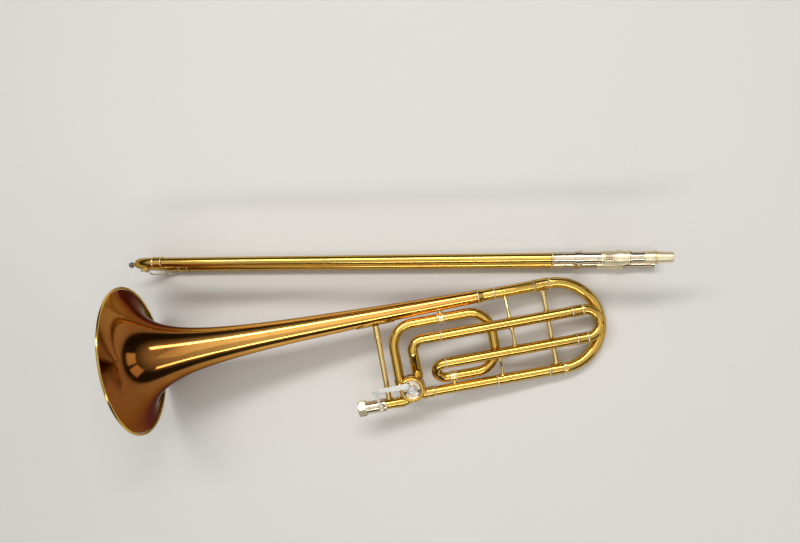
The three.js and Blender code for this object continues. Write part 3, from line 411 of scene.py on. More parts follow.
def route(corners, bends, steps=BEND_STEPS):
    """Stations, each a point and a direction, along straight runs joined by round bends."""
    corners = [Vector((*c, 0)[:3]) for c in corners]
    bends = bends if isinstance(bends, (list, tuple)) else [bends] * (len(corners) - 2)
    stations = [(corners[0], (corners[1] - corners[0]).normalized())]
    for i, radius in enumerate(bends, start=1):
        incoming = (corners[i] - corners[i - 1]).normalized()
        outgoing = (corners[i + 1] - corners[i]).normalized()
        angle = incoming.angle(outgoing)
        start = corners[i] - incoming * radius * math.tan(angle / 2)
        inward = (outgoing - incoming * math.cos(angle)).normalized()
        count = max(2, round(steps * angle / (math.pi / 2)))
        for k in range(count + 1):
            turn = angle * k / count
            sine, cosine = math.sin(turn), math.cos(turn)
            point = start + incoming * radius * sine + inward * radius * (1 - cosine)
            stations.append((point, incoming * cosine + inward * sine))
    stations.append((corners[-1], (corners[-1] - corners[-2]).normalized()))
    return stations


def circle(radius, sides):
    return [(radius * math.cos(math.tau * i / sides), radius * math.sin(math.tau * i / sides))
            for i in range(sides)]


def rounded_bar(width, height, corner=0.45, steps=3):
    """The outline of a bar's cross-section with round edges."""
    points = []
    for quarter, (x, y) in enumerate([(1, 1), (-1, 1), (-1, -1), (1, -1)]):
        for k in range(steps + 1):
            a = (quarter + k / steps) * math.pi / 2
            points.append((x * (width / 2 - corner) + corner * math.cos(a),
                           y * (height / 2 - corner) + corner * math.sin(a)))
    return points


def carried(stations, section, side=None, widths=None):
    """The rings of a section carried along stations. widths scales it at each station."""
    rings = []
    side = side or across(stations[0][1])[0]
    for i, (point, direction) in enumerate(stations):
        side = (side - direction * side.dot(direction)).normalized()
        up = direction.cross(side)
        w, h = widths[i] if widths else (1, 1)
        rings.append([point + side * u * w + up * v * h for u, v in section])
    return rings


class Shape:
    """The points and faces of one piece, in its section's millimetres."""

    def __init__(self):
        self.points = []
        self.faces = []

    def skin(self, rings, loop=False, capped=True):
        """Faces between rings of equally many points; a loop joins the last ring to the first."""
        start = len(self.points)
        size = len(rings[0])
        for ring in rings:
            self.points.extend(ring)
        count = len(rings)
        for i in range(count if loop else count - 1):
            a = start + i * size
            b = start + (i + 1) % count * size
            for j in range(size):
                k = (j + 1) % size
                self.faces.append((a + j, a + k, b + k, b + j))
        if capped and not loop:
            self.faces.append(tuple(start + j for j in reversed(range(size))))
            self.faces.append(tuple(start + (count - 1) * size + j for j in range(size)))
        return self

    def turned(self, profile, start, towards, sides=ROUND, trim=None, soft=0.35):
        """A solid of revolution: (radius, distance) pairs from one point towards another.
        trim changes the radius by the angle, for knurls and flats."""
        start = Vector((*start, 0)[:3])
        along = (Vector((*towards, 0)[:3]) - start).normalized()
        side, up = across(along)
        points = soften(profile, soft) if soft else [Vector(p) for p in profile]
        loop = tuple(profile[0]) == tuple(profile[-1])
        rings = []
        for radius, distance in points[:-1] if loop else points:
            ring = []
            for j in range(sides):
                angle = math.tau * j / sides
                r = trim(angle, radius) if trim else radius
                r = max(r, 0.01)
                ring.append(start + along * distance
                            + (side * math.cos(angle) + up * math.sin(angle)) * r)
            rings.append(ring)
        return self.skin(rings, loop=loop)

    def along_x(self, profile, y, z=0, **settings):
        return self.turned(profile, (0, y, z), (1, y, z), **settings)

    def upright(self, profile, x, y, **settings):
        return self.turned(profile, (x, y, 0), (x, y, 1), **settings)

    def sweep(self, stations, section, side=None, widths=None):
        return self.skin(carried(stations, section, side, widths))

    def pipe(self, stations, outer, inner, sides=48):
        """A hollow tube along stations."""
        outside = carried(stations, circle(outer, sides))
        inside = carried(stations, circle(inner, sides))
        return self.skin(outside + inside[::-1], loop=True)

    def slab(self, outline, low, high):
        """A flat plate with an outline in the XY plane; its edges are bevelled only when its piece is
        given a bevel.
        """
        ring = [Vector((x, y, low)) for x, y in outline]
        lid = [Vector((x, y, high)) for x, y in outline]
        return self.skin([ring, lid])

    def saddle(self, centre, towards, radius_at, half_length, half_width, thickness):
        """A soft-edged oval flange that hugs a tube along X, whose radius may change along it."""
        centre = Vector((*centre, 0)[:3])
        axis = Vector((1, 0, 0))
        up = Vector((*towards, 0)[:3]) - centre
        up = (up - axis * up.dot(axis)).normalized()
        side = axis.cross(up)
        steps = [0.999, 1, 0.99, 0.96, 0.9, 0.8, 0.6, 0.4, 0.2, 0.02]
        lifts = [0, 0.3, 0.62, 0.85, 0.96, 1, 1, 1, 1, 1]
        underside = [0.05, 0.3, 0.6, 0.85]
        rings = []
        for share, lift in [(s, 0) for s in underside] + list(zip(steps, lifts)):
            ring = []
            for j in range(40):
                angle = math.tau * j / 40
                along = half_length * share * math.cos(angle)
                radius = radius_at(along)
                turn = half_width * share * math.sin(angle) / radius
                reach = radius + 0.05 + thickness * lift
                out = up * math.cos(turn) + side * math.sin(turn)
                ring.append(centre + axis * along + out * reach)
            rings.append(ring)
        return self.skin(rings)


def piece(name, shape, section, body, look, *nodes, bevel=0.0, sharp=34):
    """One finished piece that rides on a body and stands for CAD nodes."""
    mesh = bpy.data.meshes.new(name)
    mesh.from_pydata([section @ point for point in shape.points], [], shape.faces)
    work = bmesh.new()
    work.from_mesh(mesh)
    bmesh.ops.recalc_face_normals(work, faces=work.faces)
    work.to_mesh(mesh)
    work.free()
    mesh.shade_smooth()
    mesh.set_sharp_from_angle(angle=math.radians(sharp))
    made = bpy.data.objects.new(name, mesh)
    bpy.context.scene.collection.objects.link(made)
    mesh.materials.append(LOOKS[look])
    if bevel:
        edge = made.modifiers.new("soft_edges", "BEVEL")
        edge.width = bevel * MM
        edge.segments = 3
        edge.limit_method = "ANGLE"
        edge.angle_limit = math.radians(sharp)
        edge.harden_normals = True
    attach(made, body)
    if nodes:
        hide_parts(*nodes)


def bell_piece(name, shape, look, *nodes):
    """A piece fixed to the bell section."""
    piece(name, shape, BELL, "bell_section", look, *nodes)


def hollow(name, outline, y, z, section, body, look, *nodes, **settings):
    """A piece turned from an open outline about a line along X."""
    piece(name, Shape().along_x(closed(outline), y, z, **settings), section, body, look, *nodes)


def bar_outline(a, b, radius_a, radius_b, steps=14):
    """The outline of a bar with round ends between two points."""
    heading = math.atan2(b[1] - a[1], b[0] - a[0])
    points = []
    for centre, radius, start in ((b, radius_b, -math.pi / 2), (a, radius_a, math.pi / 2)):
        for k in range(steps + 1):
            angle = heading + start + math.pi * k / steps
            points.append((centre[0] + radius * math.cos(angle),
                           centre[1] + radius * math.sin(angle)))
    return points


def helix(start, along, radius, turns, rise, steps=18):
    """Stations of a coil spring's wire."""
    along = along.normalized()
    side, up = across(along)
    stations = []
    for k in range(int(turns * steps) + 1):
        angle = math.tau * k / steps
        out = side * math.cos(angle) + up * math.sin(angle)
        round_way = up * math.cos(angle) - side * math.sin(angle)
        stations.append((start + out * radius + along * rise * k / steps,
                         (round_way * radius * math.tau + along * rise).normalized()))
    return stations


# ---------------- bell


def flare_radius(x):
    flare = LIP_RADIUS * (FLARE_START / (x + FLARE_START)) ** FLARE_POWER
    return flare - STEM_TAPER * max(0, x - STEM_TAPER_X)


def make_bell():
    stations = 120
    outside, inside = [], []
    for i in range(stations + 1):
        x = BELL_END_X * (i / stations) ** 2.3
        slope = (flare_radius(x + 0.01) - flare_radius(x)) / 0.01
        lean = math.hypot(1, slope)
        outside.append((flare_radius(x), x))
        inside.append((flare_radius(x) - BELL_WALL / lean, x + BELL_WALL * slope / lean))
    hollow("bell_flare", outside + inside[::-1], 0, 0, BELL, "bell_section", "rose_brass", "bell",
           sides=192, soft=0)
    ring = [(RIM_RADIUS - RIM_WIRE + RIM_WIRE * math.cos(math.tau * i / 20),
             RIM_WIRE * math.sin(math.tau * i / 20)) for i in range(20)]
    hollow("rim_bead", ring, 0, 0, BELL, "bell_section", "lacquered_brass", "bell_rim_wire",
           sides=192, soft=0)


def make_tail_ferrule():
    start = BELL_END_X + GAP
    end = TAIL_FERRULE_END_X
    outer, inner = BELL_SLEEVE
    outline = [
        (8.4, start), (10.3, start), (10.6, start + 1.2), (10.2, start + 2.6),
        (outer + 0.6, start + 9), (outer + 0.25, start + 10), (outer + 0.25, end - 2),
        (outer + 0.9, end - 1.8), (outer + 0.9, end), (inner, end), (inner, start + 9),
    ]
    hollow("tail_ferrule", outline, 0, 0, BELL, "bell_section", "lacquered_brass",
           "bell_tail_ferrule")


# ---------------- tubes and slides


def ringed_sleeve(name, y, z, start, end, tube, node):
    """An outer slide tube with a ring and a lip at its mouth."""
    outer, inner = tube
    lip = outer + 0.6
    outline = [
        (inner, start), (outer, start), (outer, end - 3.2), (outer + 0.35, end - 2.9),
        (outer + 0.35, end - 2.5), (outer, end - 2.2), (lip, end - 1.9), (lip, end), (inner, end),
    ]
    hollow(name, outline, y, z, BELL, "bell_section", "lacquered_brass", node, soft=0.2)


def leg_and_ferrule(name, y, z, start, mouth, end, leg, ferrule, bow, body, node):
    """An inner leg with the ferrule that joins it to its bow."""
    outer, inner = leg
    at = mouth + GAP
    outline = [
        (inner, start), (outer, start), (outer, at), (ferrule + 0.3, at), (ferrule + 0.3, at + 1.4),
        (ferrule, at + 1.7), (ferrule, end - 2.2), (ferrule + 0.5, end - 1.9), (ferrule + 0.5, end),
        (bow, end), (inner, end - 6),
    ]
    hollow(name, outline, y, z, BELL, body, "lacquered_brass", node, soft=0.2)


def half_round_bow(name, x, top, bottom, z, tube, body, node):
    radius = (top - bottom) / 2
    tip = x + radius
    way = route([(x, top, z), (tip, top, z), (tip, bottom, z), (x, bottom, z)], radius, 24)
    piece(name, Shape().pipe(way, *tube, sides=ROUND), BELL, body, "lacquered_brass", node)


def brace_shape(centre_a, radius_a, centre_b, radius_b, thick, waist):
    """A waisted post with a bead at each end, between two oval flanges."""
    a, b = Vector(centre_a), Vector(centre_b)
    start = radius_a + GAP + 0.4
    end = (b - a).length - radius_b - GAP - 0.4
    half = [(0, 0), (thick, 0), (thick, 1.4), (thick - 0.5, 1.8), (thick - 0.3, 3),
            (waist, (end - start) / 2 - 0.5)]
    shape = Shape().turned(mirrored(half, start, end), a, b, sides=40, soft=0.5)
    for centre, other, radius in ((a, b, radius_a), (b, a, radius_b)):
        shape.saddle(centre, other, lambda _, r=radius: r + GAP - 0.05, 5, 3.75, 1)
    return shape


def make_beads():
    """Pale half-round rings soldered round the tubes, where the ferrules end."""
    bell, neck, sleeve = BELL_SLEEVE[0], NECK_SLEEVE[0], F_SLEEVE[0]
    loop, f_ferrule = LOOP_FERRULE + 0.1, F_FERRULE + 0.2
    fixed, main, f_slide = "bell_section", "main_tuning_slide", "f_tuning_slide"
    f_mouth, f_bow = [F_TUBE_X + 1.2, F_SLEEVE_END_X - 1], [F_FERRULE_END_X - 1]
    slide = [CROOK_X + 1.3, CROOK_FERRULE_END_X - 1.2, OVERSLEEVE_X[0] - 1.8]
    loop_upper = [LOOP_UPPER_FERRULE[0] + 1, LOOP_UPPER_FERRULE[1] - 1]
    loop_lower = [LOOP_LOWER_FERRULE[0] + 1, LOOP_LOWER_FERRULE[1] - 1]
    for name, body, y, z, radius, places in (
        ("tail", fixed, 0, 0, 9.9, [BELL_END_X + 2.2]),
        ("tail_end", fixed, 0, 0, bell + 0.6, [TAIL_FERRULE_END_X - 1]),
        ("bell_mouth", fixed, 0, 0, bell + 0.3, [SLEEVE_END_X - 1]),
        ("bell_bow", main, 0, 0, BELL_FERRULE + 0.2, [MAIN_FERRULE_END_X - 1]),
        ("neck_mouth", fixed, NECK_Y, 0, neck + 0.3, [NECK_SLEEVE_X + 1.2, SLEEVE_END_X - 1]),
        ("neck_bow", main, NECK_Y, 0, NECK_FERRULE + 0.2, [MAIN_FERRULE_END_X - 1]),
        ("f_upper", fixed, F_UPPER_Y, F_LEVEL, sleeve + 0.3, f_mouth),
        ("f_bow_upper", f_slide, F_UPPER_Y, F_LEVEL, f_ferrule, f_bow),
        ("f_lower", fixed, F_LOWER_Y, F_LEVEL, sleeve + 0.3, f_mouth),
        ("f_bow_lower", f_slide, F_LOWER_Y, F_LEVEL, f_ferrule, f_bow),
        ("neckpipe", fixed, NECK_Y, 0, 7.9, [NECK_RINGS_X[0] + 1.2, NECK_RINGS_X[1] - 1.2]),
        ("slide_bell_side", "outer_slide", 0, HIGH_Z, 8.3, slide),
        ("slide_mouthpiece_side", "outer_slide", 0, LOW_Z, 8.3, slide),
        ("loop_upper", fixed, LOOP_TOP_Y, 0, loop, loop_upper),
        ("loop_lower", fixed, LOOP_BOTTOM_Y, 0, loop, loop_lower),
    ):
        half = [(radius - 0.1, 0), (radius + 0.45, 0.1), (radius + 0.75, 0.7)]
        shape = Shape()
        for x in places:
            shape.along_x(closed(mirrored(half, x - 1, x + 1)), y, z, soft=0.25)
        section = SLIDE if body == "outer_slide" else BELL
        piece("beads_" + name, shape, section, body, "bead_silver")


def make_main_tuning_slide():
    body = "main_tuning_slide"
    start = BELL_END_X + 32
    half_round_bow("tuning_bow", MAIN_FERRULE_END_X + GAP, 0, NECK_Y, 0, BOW_TUBE, body, "main_bow")
    for side, y, leg, ferrule in (
        ("bell_side", 0, BELL_LEG, BELL_FERRULE), ("neck_side", NECK_Y, NECK_LEG, NECK_FERRULE),
    ):
        leg_and_ferrule("tuning_leg_" + side, y, 0, start, SLEEVE_END_X, MAIN_FERRULE_END_X, leg,
                        ferrule, BOW_TUBE[1], body, "main_inner_leg_" + side)
    top, bottom = Vector((MAIN_BRACE_X, 0, 0)), Vector((MAIN_BRACE_X, NECK_Y, 0))
    start, end = 9.9, -NECK_Y - 9.7
    half = [(0, 0), (4.3, 0), (4.3, 2), (3.7, 2.6), (3.7, 30), (4.2, 31), (4.2, 33), (3.6, 34)]
    profile = mirrored(half, start, end, [(3.2, (start + end) / 2)])
    shape = Shape().turned(profile, top, bottom, sides=48, soft=0.5)
    shape.saddle(top, bottom, lambda _: 9.4, 6, 4.6, 1)
    shape.saddle(bottom, top, lambda _: 9.2, 6, 4.6, 1)
    piece("tuning_slide_brace", shape, BELL, body, "pale_brass", "main_bow_brace")


def make_attachment():
    """The valve's tubing: its loop, its branch and its tuning slide."""
    rise_x = ROTOR.x - PORT_FAR
    branch_x = ROTOR.x + PORT_NEAR
    upper_start, upper_end = LOOP_UPPER_FERRULE
    lower_start, lower_end = LOOP_LOWER_FERRULE
    for name, corners, bends, node in (
        ("loop_rise",
         [(rise_x, ROTOR.y + 15.5), (rise_x, LOOP_TOP_Y), (upper_start - GAP, LOOP_TOP_Y)],
         LOOP_BEND, "f_loop_rise"),
        ("loop_bend",
         [(upper_end + GAP, LOOP_TOP_Y), (LOOP_RIGHT_X, LOOP_TOP_Y),
          (LOOP_RIGHT_X, LOOP_BOTTOM_Y), (lower_end + GAP, LOOP_BOTTOM_Y)],
         LOOP_BEND, "f_loop_bend"),
        ("loop_return",
         [(lower_start - GAP, LOOP_BOTTOM_Y), (LOOP_RETURN_X, LOOP_BOTTOM_Y),
          (LOOP_RETURN_X, F_LOWER_Y, F_LEVEL), (F_TUBE_X - GAP, F_LOWER_Y, F_LEVEL)],
         14.2, "f_loop_return"),
        ("loop_branch",
         [(branch_x, ROTOR.y + 15.6), (branch_x, ROTOR.y + 26), (branch_x, F_UPPER_Y - 18, F_LEVEL),
          (branch_x, F_UPPER_Y, F_LEVEL), (F_TUBE_X - GAP, F_UPPER_Y, F_LEVEL)],
         [24, 24, 17], "f_branch"),
    ):
        bell_piece(name, Shape().pipe(route(corners, bends), *LOOP_TUBE), "lacquered_brass", node)
    for side, y, ends in (("upper", LOOP_TOP_Y, LOOP_UPPER_FERRULE),
                          ("lower", LOOP_BOTTOM_Y, LOOP_LOWER_FERRULE)):
        lip = LOOP_FERRULE + 0.5
        half = [(LOOP_TUBE[1], 0), (lip, 0), (lip, 1.3), (LOOP_FERRULE, 1.6)]
        hollow("loop_ferrule_" + side, mirrored(half, *ends), y, 0, BELL, "bell_section",
               "pale_brass", f"f_loop_{side}_ferrule", soft=0.2)
    sleeve = F_SLEEVE[0]
    for side, y in (("upper", F_UPPER_Y), ("lower", F_LOWER_Y)):
        ringed_sleeve("f_sleeve_" + side, y, F_LEVEL, F_TUBE_X, F_SLEEVE_END_X, F_SLEEVE,
                      "f_slide_tube_" + side)
        leg_and_ferrule("f_leg_" + side, y, F_LEVEL, F_SLEEVE_END_X - 92, F_SLEEVE_END_X,
                        F_FERRULE_END_X, F_LEG, F_FERRULE, LOOP_TUBE[1], "f_tuning_slide",
                        "f_inner_leg_" + side)
        collar = ring_outline(sleeve + 0.02, sleeve + 0.5, F_TUBE_X + 0.2, F_TUBE_X + 2.2)
        bell_piece("f_sleeve_ring_" + side, Shape().along_x(collar, y, F_LEVEL, soft=0.2),
                   "pale_brass")
    half_round_bow("f_slide_bow", F_FERRULE_END_X + GAP, F_UPPER_Y, F_LOWER_Y, F_LEVEL, LOOP_TUBE,
                   "f_tuning_slide", "f_bow")


def clear_of_rotor(shape):
    """Moves the points inside the valve's casing out into its wall."""
    wall = CASING_OUTER - 1.2
    for i, point in enumerate(shape.points):
        away = Vector((point.x - ROTOR.x, point.y - ROTOR.y, 0))
        if away.length < wall:
            shape.points[i] = point + away.normalized() * (wall - away.length)


def make_neckpipe():
    outer, inner = NECK_TUBE
    start, end = ROTOR.x + 15.8, NECK_SLEEVE_X - GAP
    first, last = NECK_RINGS_X
    rear = [
        (inner, start), (outer, start), (outer, first), (8.3, first + 0.3), (8.3, first + 1.9),
        (7.9, first + 2.3), (7.9, last - 2.3), (8.3, last - 2), (8.3, last - 0.4), (outer, last),
        (outer, end), (inner, end),
    ]
    hollow("neckpipe_back", rear, NECK_Y, 0, BELL, "bell_section", "lacquered_brass",
           "neckpipe_rear", soft=0.2)
    elbow_x = ROTOR.x - 6
    way = route([(RECEIVER_END_X + GAP, RECEIVER_Y), (elbow_x, RECEIVER_Y),
                 (elbow_x, RECEIVER_Y + 10.5)], 10)
    shape = Shape().pipe(way, outer, inner)
    clear_of_rotor(shape)
    shape.along_x(ring_outline(7.1, 8.1, 385.8, 388), RECEIVER_Y, soft=0.4)
    bell_piece("neckpipe_fore", shape, "lacquered_brass", "neckpipe_front")
    ringed_sleeve("bell_side_sleeve", 0, 0, TAIL_FERRULE_END_X + GAP, SLEEVE_END_X, BELL_SLEEVE,
                  "bell_side_slide_tube")
    ringed_sleeve("neck_side_sleeve", NECK_Y, 0, NECK_SLEEVE_X, SLEEVE_END_X, NECK_SLEEVE,
                  "neck_side_slide_tube")


def make_receiver_and_nut():
    mouth = RECEIVER_X + NUT_FRONT + 1
    end = RECEIVER_END_X
    outer = RECEIVER_OUTER
    outline = [
        (8.4, mouth), (10.2, mouth), (10.2, mouth + 1.6), (outer, mouth + 1.6), (outer, mouth + 13),
        (outer - 0.35, mouth + 13.4), (outer - 0.35, mouth + 14.2), (outer, mouth + 14.6),
        (outer, end - 5), (outer + 0.5, end - 4.6), (outer + 0.5, end), (NECK_TUBE[1], end),
        (7.4, end - 6),
    ]
    hollow("receiver_socket", outline, RECEIVER_Y, 0, BELL, "bell_section", "nickel_silver",
           "slide_receiver", soft=0.25)

    start, end = RECEIVER_X, RECEIVER_X + NUT_LENGTH
    flat = NUT_ACROSS * math.cos(math.pi / 6)

    def hexagon(angle, radius):
        turned = (angle + math.pi / 6) % (math.pi / 3) - math.pi / 6
        return min(radius, flat / math.cos(turned)) if radius > 10.8 else radius

    threads = []
    for k in reversed(range(3)):
        at = start + 0.4 + k * 0.66
        threads += [(9.5, at + 0.33), (9.9, at)]
    profile = closed([
        (9.9, start), (10.85, start), (11.4, start + 0.7), (12.2, start + 1.9), (13.2, start + 3.6),
        (13.2, end - 2), (12.4, end - 1), (11.9, end), (9.7, end), (9.7, start + 5.2),
        (10.7, start + 5.2), (10.7, start + 2.5), (9.9, start + 2.4), *threads,
    ])
    shape = Shape().along_x(profile, RECEIVER_Y, sides=96, trim=hexagon, soft=0.12)
    piece("hex_lock_nut", shape, BELL, "lock_nut", "bead_silver", "lock_nut", sharp=26)


def make_bell_brace():
    x = BELL_BRACE_X
    socket, rod = BELL_SOCKET_RADIUS, BELL_BRACE_RADIUS
    top_y = -flare_radius(x) - 1.8
    length = top_y - (RECEIVER_Y + NECK_TUBE[0] + 0.6)
    profile = [
        (0, 0), (socket, 0), (socket, 16.6), (socket + 0.7, 17), (socket + 0.7, 19), (rod, 19.6),
        (rod, length - 2), (rod + 0.8, length - 1.2), (rod + 0.8, length), (0, length),
    ]
    shape = Shape().turned(profile, (x, top_y), (x, top_y - 1), sides=48, soft=0.4)
    tube = NECK_TUBE[0] + 0.4 + GAP
    shape.saddle((x, RECEIVER_Y), (x, 0), lambda _: tube, 6.2, 5.4, 1.2)
    bell_piece("bell_brace_rod", shape, "pale_brass", "bell_brace")
    shape = Shape().saddle((x, 0), (x, -9), lambda along: flare_radius(x + along) + 0.2, 30, 12, 1.4)
    bell_piece("bell_brace_foot", shape, "lacquered_brass", "bell_brace_flange")


def make_tube_braces():
    bell, neck, sleeve = BELL_SLEEVE[0], NECK_SLEEVE[0], F_SLEEVE[0]
    upper, lower = (F_BRACE_X, F_UPPER_Y, F_LEVEL), (F_BRACE_X, F_LOWER_Y, F_LEVEL)
    near_lower = (NECK_BRACE_X, F_LOWER_Y, F_LEVEL)
    for name, ends, thick, waist, node in (
        ("brace_bell_to_f", ((F_BRACE_X, 0, 0), bell, upper, sleeve), 2.7, 1.7, "upper"),
        ("brace_f_to_f", (upper, sleeve, lower, sleeve), 3.1, 2.1, "middle"),
        ("brace_f_to_neck", (near_lower, sleeve, (NECK_BRACE_X, NECK_Y, 0), neck), 2.4, 1.4, "lower"),
    ):
        bell_piece(name, brace_shape(*ends, thick, waist), "pale_brass", "tube_brace_" + node)
    stem = flare_radius(470) + 0.2
    for side, x, y_a, radius_a, y_b, radius_b in (
        ("upper", 473.5, 0, stem, LOOP_TOP_Y, LOOP_FERRULE),
        ("lower", 475.9, LOOP_BOTTOM_Y, LOOP_FERRULE, NECK_Y, NECK_TUBE[0]),
    ):
        start, end = radius_a - 0.4, abs(y_b - y_a) - radius_b + 0.4
        profile = [(0, start), (3.2, start), (2.8, (start + end) / 2), (3.2, end), (0, end)]
        shape = Shape().turned(profile, (x, y_a), (x, y_b), sides=32, soft=0.4)
        bell_piece("loop_block_" + side, shape, "pale_brass", "loop_saddle_" + side)


# ---------------- valve and linkage


def knurl(count, depth, least):
    """Trims a turned solid's outermost part with fine grip ridges."""
    return lambda angle, r: r - depth * (0.5 - 0.5 * math.cos(count * angle)) if r > least else r


def make_valve():
    x, y = ROTOR.x, ROTOR.y
    half, wall = CASING_HALF, CASING_OUTER
    shape = Shape()
    knuckle = [(0, -4), (3, -3.6), (5.6, -2.2), (7.4, 0), (8.2, 2.6)]
    for at, to, far in (
        ((x + 13, NECK_Y), (x + 20, NECK_Y), 8.5),
        ((x - PORT_FAR, y + 8), (x - PORT_FAR, y + 20), 8),
        ((x + PORT_NEAR, y + 13), (x + PORT_NEAR, y + 20), 7),
    ):
        collar = [(8.2, far - 1.4), (8.6, far - 1.1), (8.6, far), (7, far), (7, 3), (0, 3)]
        shape.turned(knuckle + collar, at, to, sides=48, soft=0.25)
    clear_of_rotor(shape)
    collar = closed([(7, 0), (8.2, 0), (8.2, 3.6), (8.6, 3.9), (8.6, 5), (7, 5)])
    shape.turned(collar, (x - 16, RECEIVER_Y), (x - 20, RECEIVER_Y), sides=48, soft=0.25)
    casing = mirrored([(CASING_INNER, 0), (wall, 0), (wall, 2.4), (wall - 0.5, 2.8)], -half, half)
    shape.upright(closed(casing), x, y, sides=96)
    bell_piece("valve_casing", shape, "lacquered_brass", "rotor_casing")
    make_caps()
    for name, degrees in (("stop_bumper_rest", 342), ("stop_bumper_engaged", 198)):
        angle = math.radians(degrees)
        out = Vector((math.cos(angle), math.sin(angle), 0))
        at = ROTOR + out * STOP_BUMPER_REACH + Vector((0, 0, half + CAP_HEIGHT - 0.8))
        profile = [(0, 0), (2, 0), (2, 4.4), (1.5, 5), (0, 5)]
        shape = Shape().turned(profile, at, at + Vector((0, 0, 1)), sides=32, soft=0.5)
        bell_piece(name + "_cork", shape, "rubber", name)


def make_caps():
    """The knurled caps of the casing, with a nickel disc on the front one."""
    x, y = ROTOR.x, ROTOR.y
    face = CASING_HALF + GAP
    r, h = CAP_RADIUS, CAP_HEIGHT
    outline = [
        (r - 1.4, 0), (r - 1.4, 1), (r + 0.9, 1), (r + 0.9, 3), (r - 0.4, h - 0.4), (r - 1.2, h),
        (r - 3.2, h), (r - 4, h - 1.4), (r - 6, h - 1.4), (r - 6.2, h - 1.65), (r - 6.6, h - 1.65),
        (r - 6.8, h - 1.4),
    ]
    hole = SPINDLE_RADIUS + GAP
    front = closed([(hole, 0), *outline, (hole, h - 1.4)])
    back = [(0, 0), *outline, (0, h - 1.4)]
    for side, way, profile, look in (("front", 1, front, "lacquered_brass"),
                                     ("back", -1, back, "pale_brass")):
        shape = Shape().turned(profile, (x, y, way * face), (x, y, way * (face + 1)), sides=240,
                               trim=knurl(60, 0.35, r + 0.5), soft=0.25)
        bell_piece("valve_cap_" + side, shape, look, f"casing_{side}_cap")
    plate = closed([
        (3.6, 0), (13.3, 0), (13.3, 0.6), (12.6, 0.8), (12, 0.4), (8.6, 0.4), (8.2, 0.8),
        (7.2, 0.8), (6.8, 0.4), (3.6, 0.4),
    ])
    top = face + h - 1.38
    shape = Shape().turned(plate, (x, y, top), (x, y, top + 1), sides=96, soft=0.2)
    bell_piece("valve_cap_plate", shape, "nickel_silver")


def slotted_head(shape, at, radius, height, up=Vector((0, 0, 1))):
    """A domed screw head made of two halves with a slot between them."""
    side, across_side = across(up)
    for sign in (1, -1):
        rings = []
        for r_share, h_share in ((1, 0), (1, 0.55), (0.93, 0.8), (0.75, 0.96), (0.5, 1), (0.02, 1)):
            ring = []
            for k in range(17):
                angle = math.pi * k / 16
                u = math.cos(angle) * radius * r_share
                v = max(radius * 0.13, math.sin(angle) * radius * r_share)
                ring.append(at + side * u + across_side * v * sign + up * height * h_share)
            rings.append(ring)
        shape.skin(rings)
    base = [(0, -0.05), (radius * 0.98, -0.05), (radius * 0.98, height * 0.35), (0, height * 0.35)]
    return shape.turned(base, at, at + up, sides=32, soft=0.1)


def make_rotor():
    body = "rotor_assembly"
    for slot_material in frame["nodes"]["rotor"].material_slots:
        slot_material.material = LOOKS["lacquered_brass"]
    out = Vector((math.cos(STOP_PIN_REST), math.sin(STOP_PIN_REST), 0))
    pin = ROTOR + out * STOP_PIN_RADIUS
    tail = ROTOR - out * 9
    low = CASING_HALF + GAP + CAP_HEIGHT + 0.2
    top = LINKAGE_Z - 2.6 + GAP
    shape = Shape().slab(bar_outline(tail, pin, 2.6, 2.9), low, low + 2.4)
    hub = closed([(3.5, low), (5.4, low), (5.4, top), (4.8, top + 1), (1.4, top + 1),
                  (1.4, top - 0.4), (3.5, top - 0.4)])
    shape.upright(hub, ROTOR.x, ROTOR.y, soft=0.3)
    shape.upright(pin_outline(low), pin.x, pin.y, sides=32, soft=0.2)
    piece("stop_plate", shape, BELL, body, "chrome_plate", "stop_arm", bevel=0.3)
    head = slotted_head(Shape(), ROTOR + Vector((0, 0, top + 1 + GAP)), 3, 1.9)
    piece("spindle_screw", head, BELL, body, "chrome_plate", "stop_arm_screw", sharp=40)


def pin_outline(base):
    """A pin of the linkage, from a height up through the link."""
    r, top = PIN_RADIUS, LINKAGE_Z + 1.4
    return [(0, base), (r, base), (r, top - 0.4), (r - 0.4, top), (0, top)]


def lever_pin():
    rest = math.radians(90 + LEVER_SWING / 2)
    return LEVER_PIVOT + Vector((math.cos(rest), math.sin(rest), 0)) * LEVER_PIN_RADIUS


def make_lever():
    x, y, z = LEVER_PIVOT
    profile = [(0, 9), (4.2, 9), (4.2, 10.4), (3.4, 11.2), (3.4, z - 6), (3.7, z - 5.6),
               (3.7, z - 4.7), (PIN_RADIUS, z - 4.6), (PIN_RADIUS, z + 1.9), (0, z + 1.9)]
    shape = Shape().upright(profile, x, y, sides=48, soft=0.3)
    tube = RECEIVER_OUTER + 0.45 + GAP
    shape.saddle((x, RECEIVER_Y, 0), (x, RECEIVER_Y, 10), lambda _: tube, 7, 6, 1.2)
    slotted_head(shape, Vector((x, y, z + 1.8)), 2.9, 1.4)
    bell_piece("lever_post", shape, "nickel_silver", "lever_bracket")

    pin = lever_pin()
    base = z - 4.3
    shape = Shape().slab(bar_outline((x, y), pin, 1.9, 1.9), base, base + 2.4)
    shape.slab(bar_outline(pin, pin, 2.9, 2.9), base, base + 2.4)
    shape.upright(ring_outline(1.8, 3.6, base, z + 1.4), x, y, sides=48, soft=0.3)
    shape.upright(pin_outline(base), pin.x, pin.y, sides=32, soft=0.2)
    add_paddle(shape, base)
    piece("thumb_lever_arm", shape, BELL, "thumb_lever", "chrome_plate", "thumb_lever", bevel=0.3)

    end = pin + Vector((LINK_LENGTH, 0, 0))
    shape = Shape().slab(bar_outline(pin, end, 2.8, 4.2), z - 0.9, z + 1.1)
    piece("connecting_link", shape, BELL, "lever_link", "chrome_plate", "lever_link", bevel=0.5)


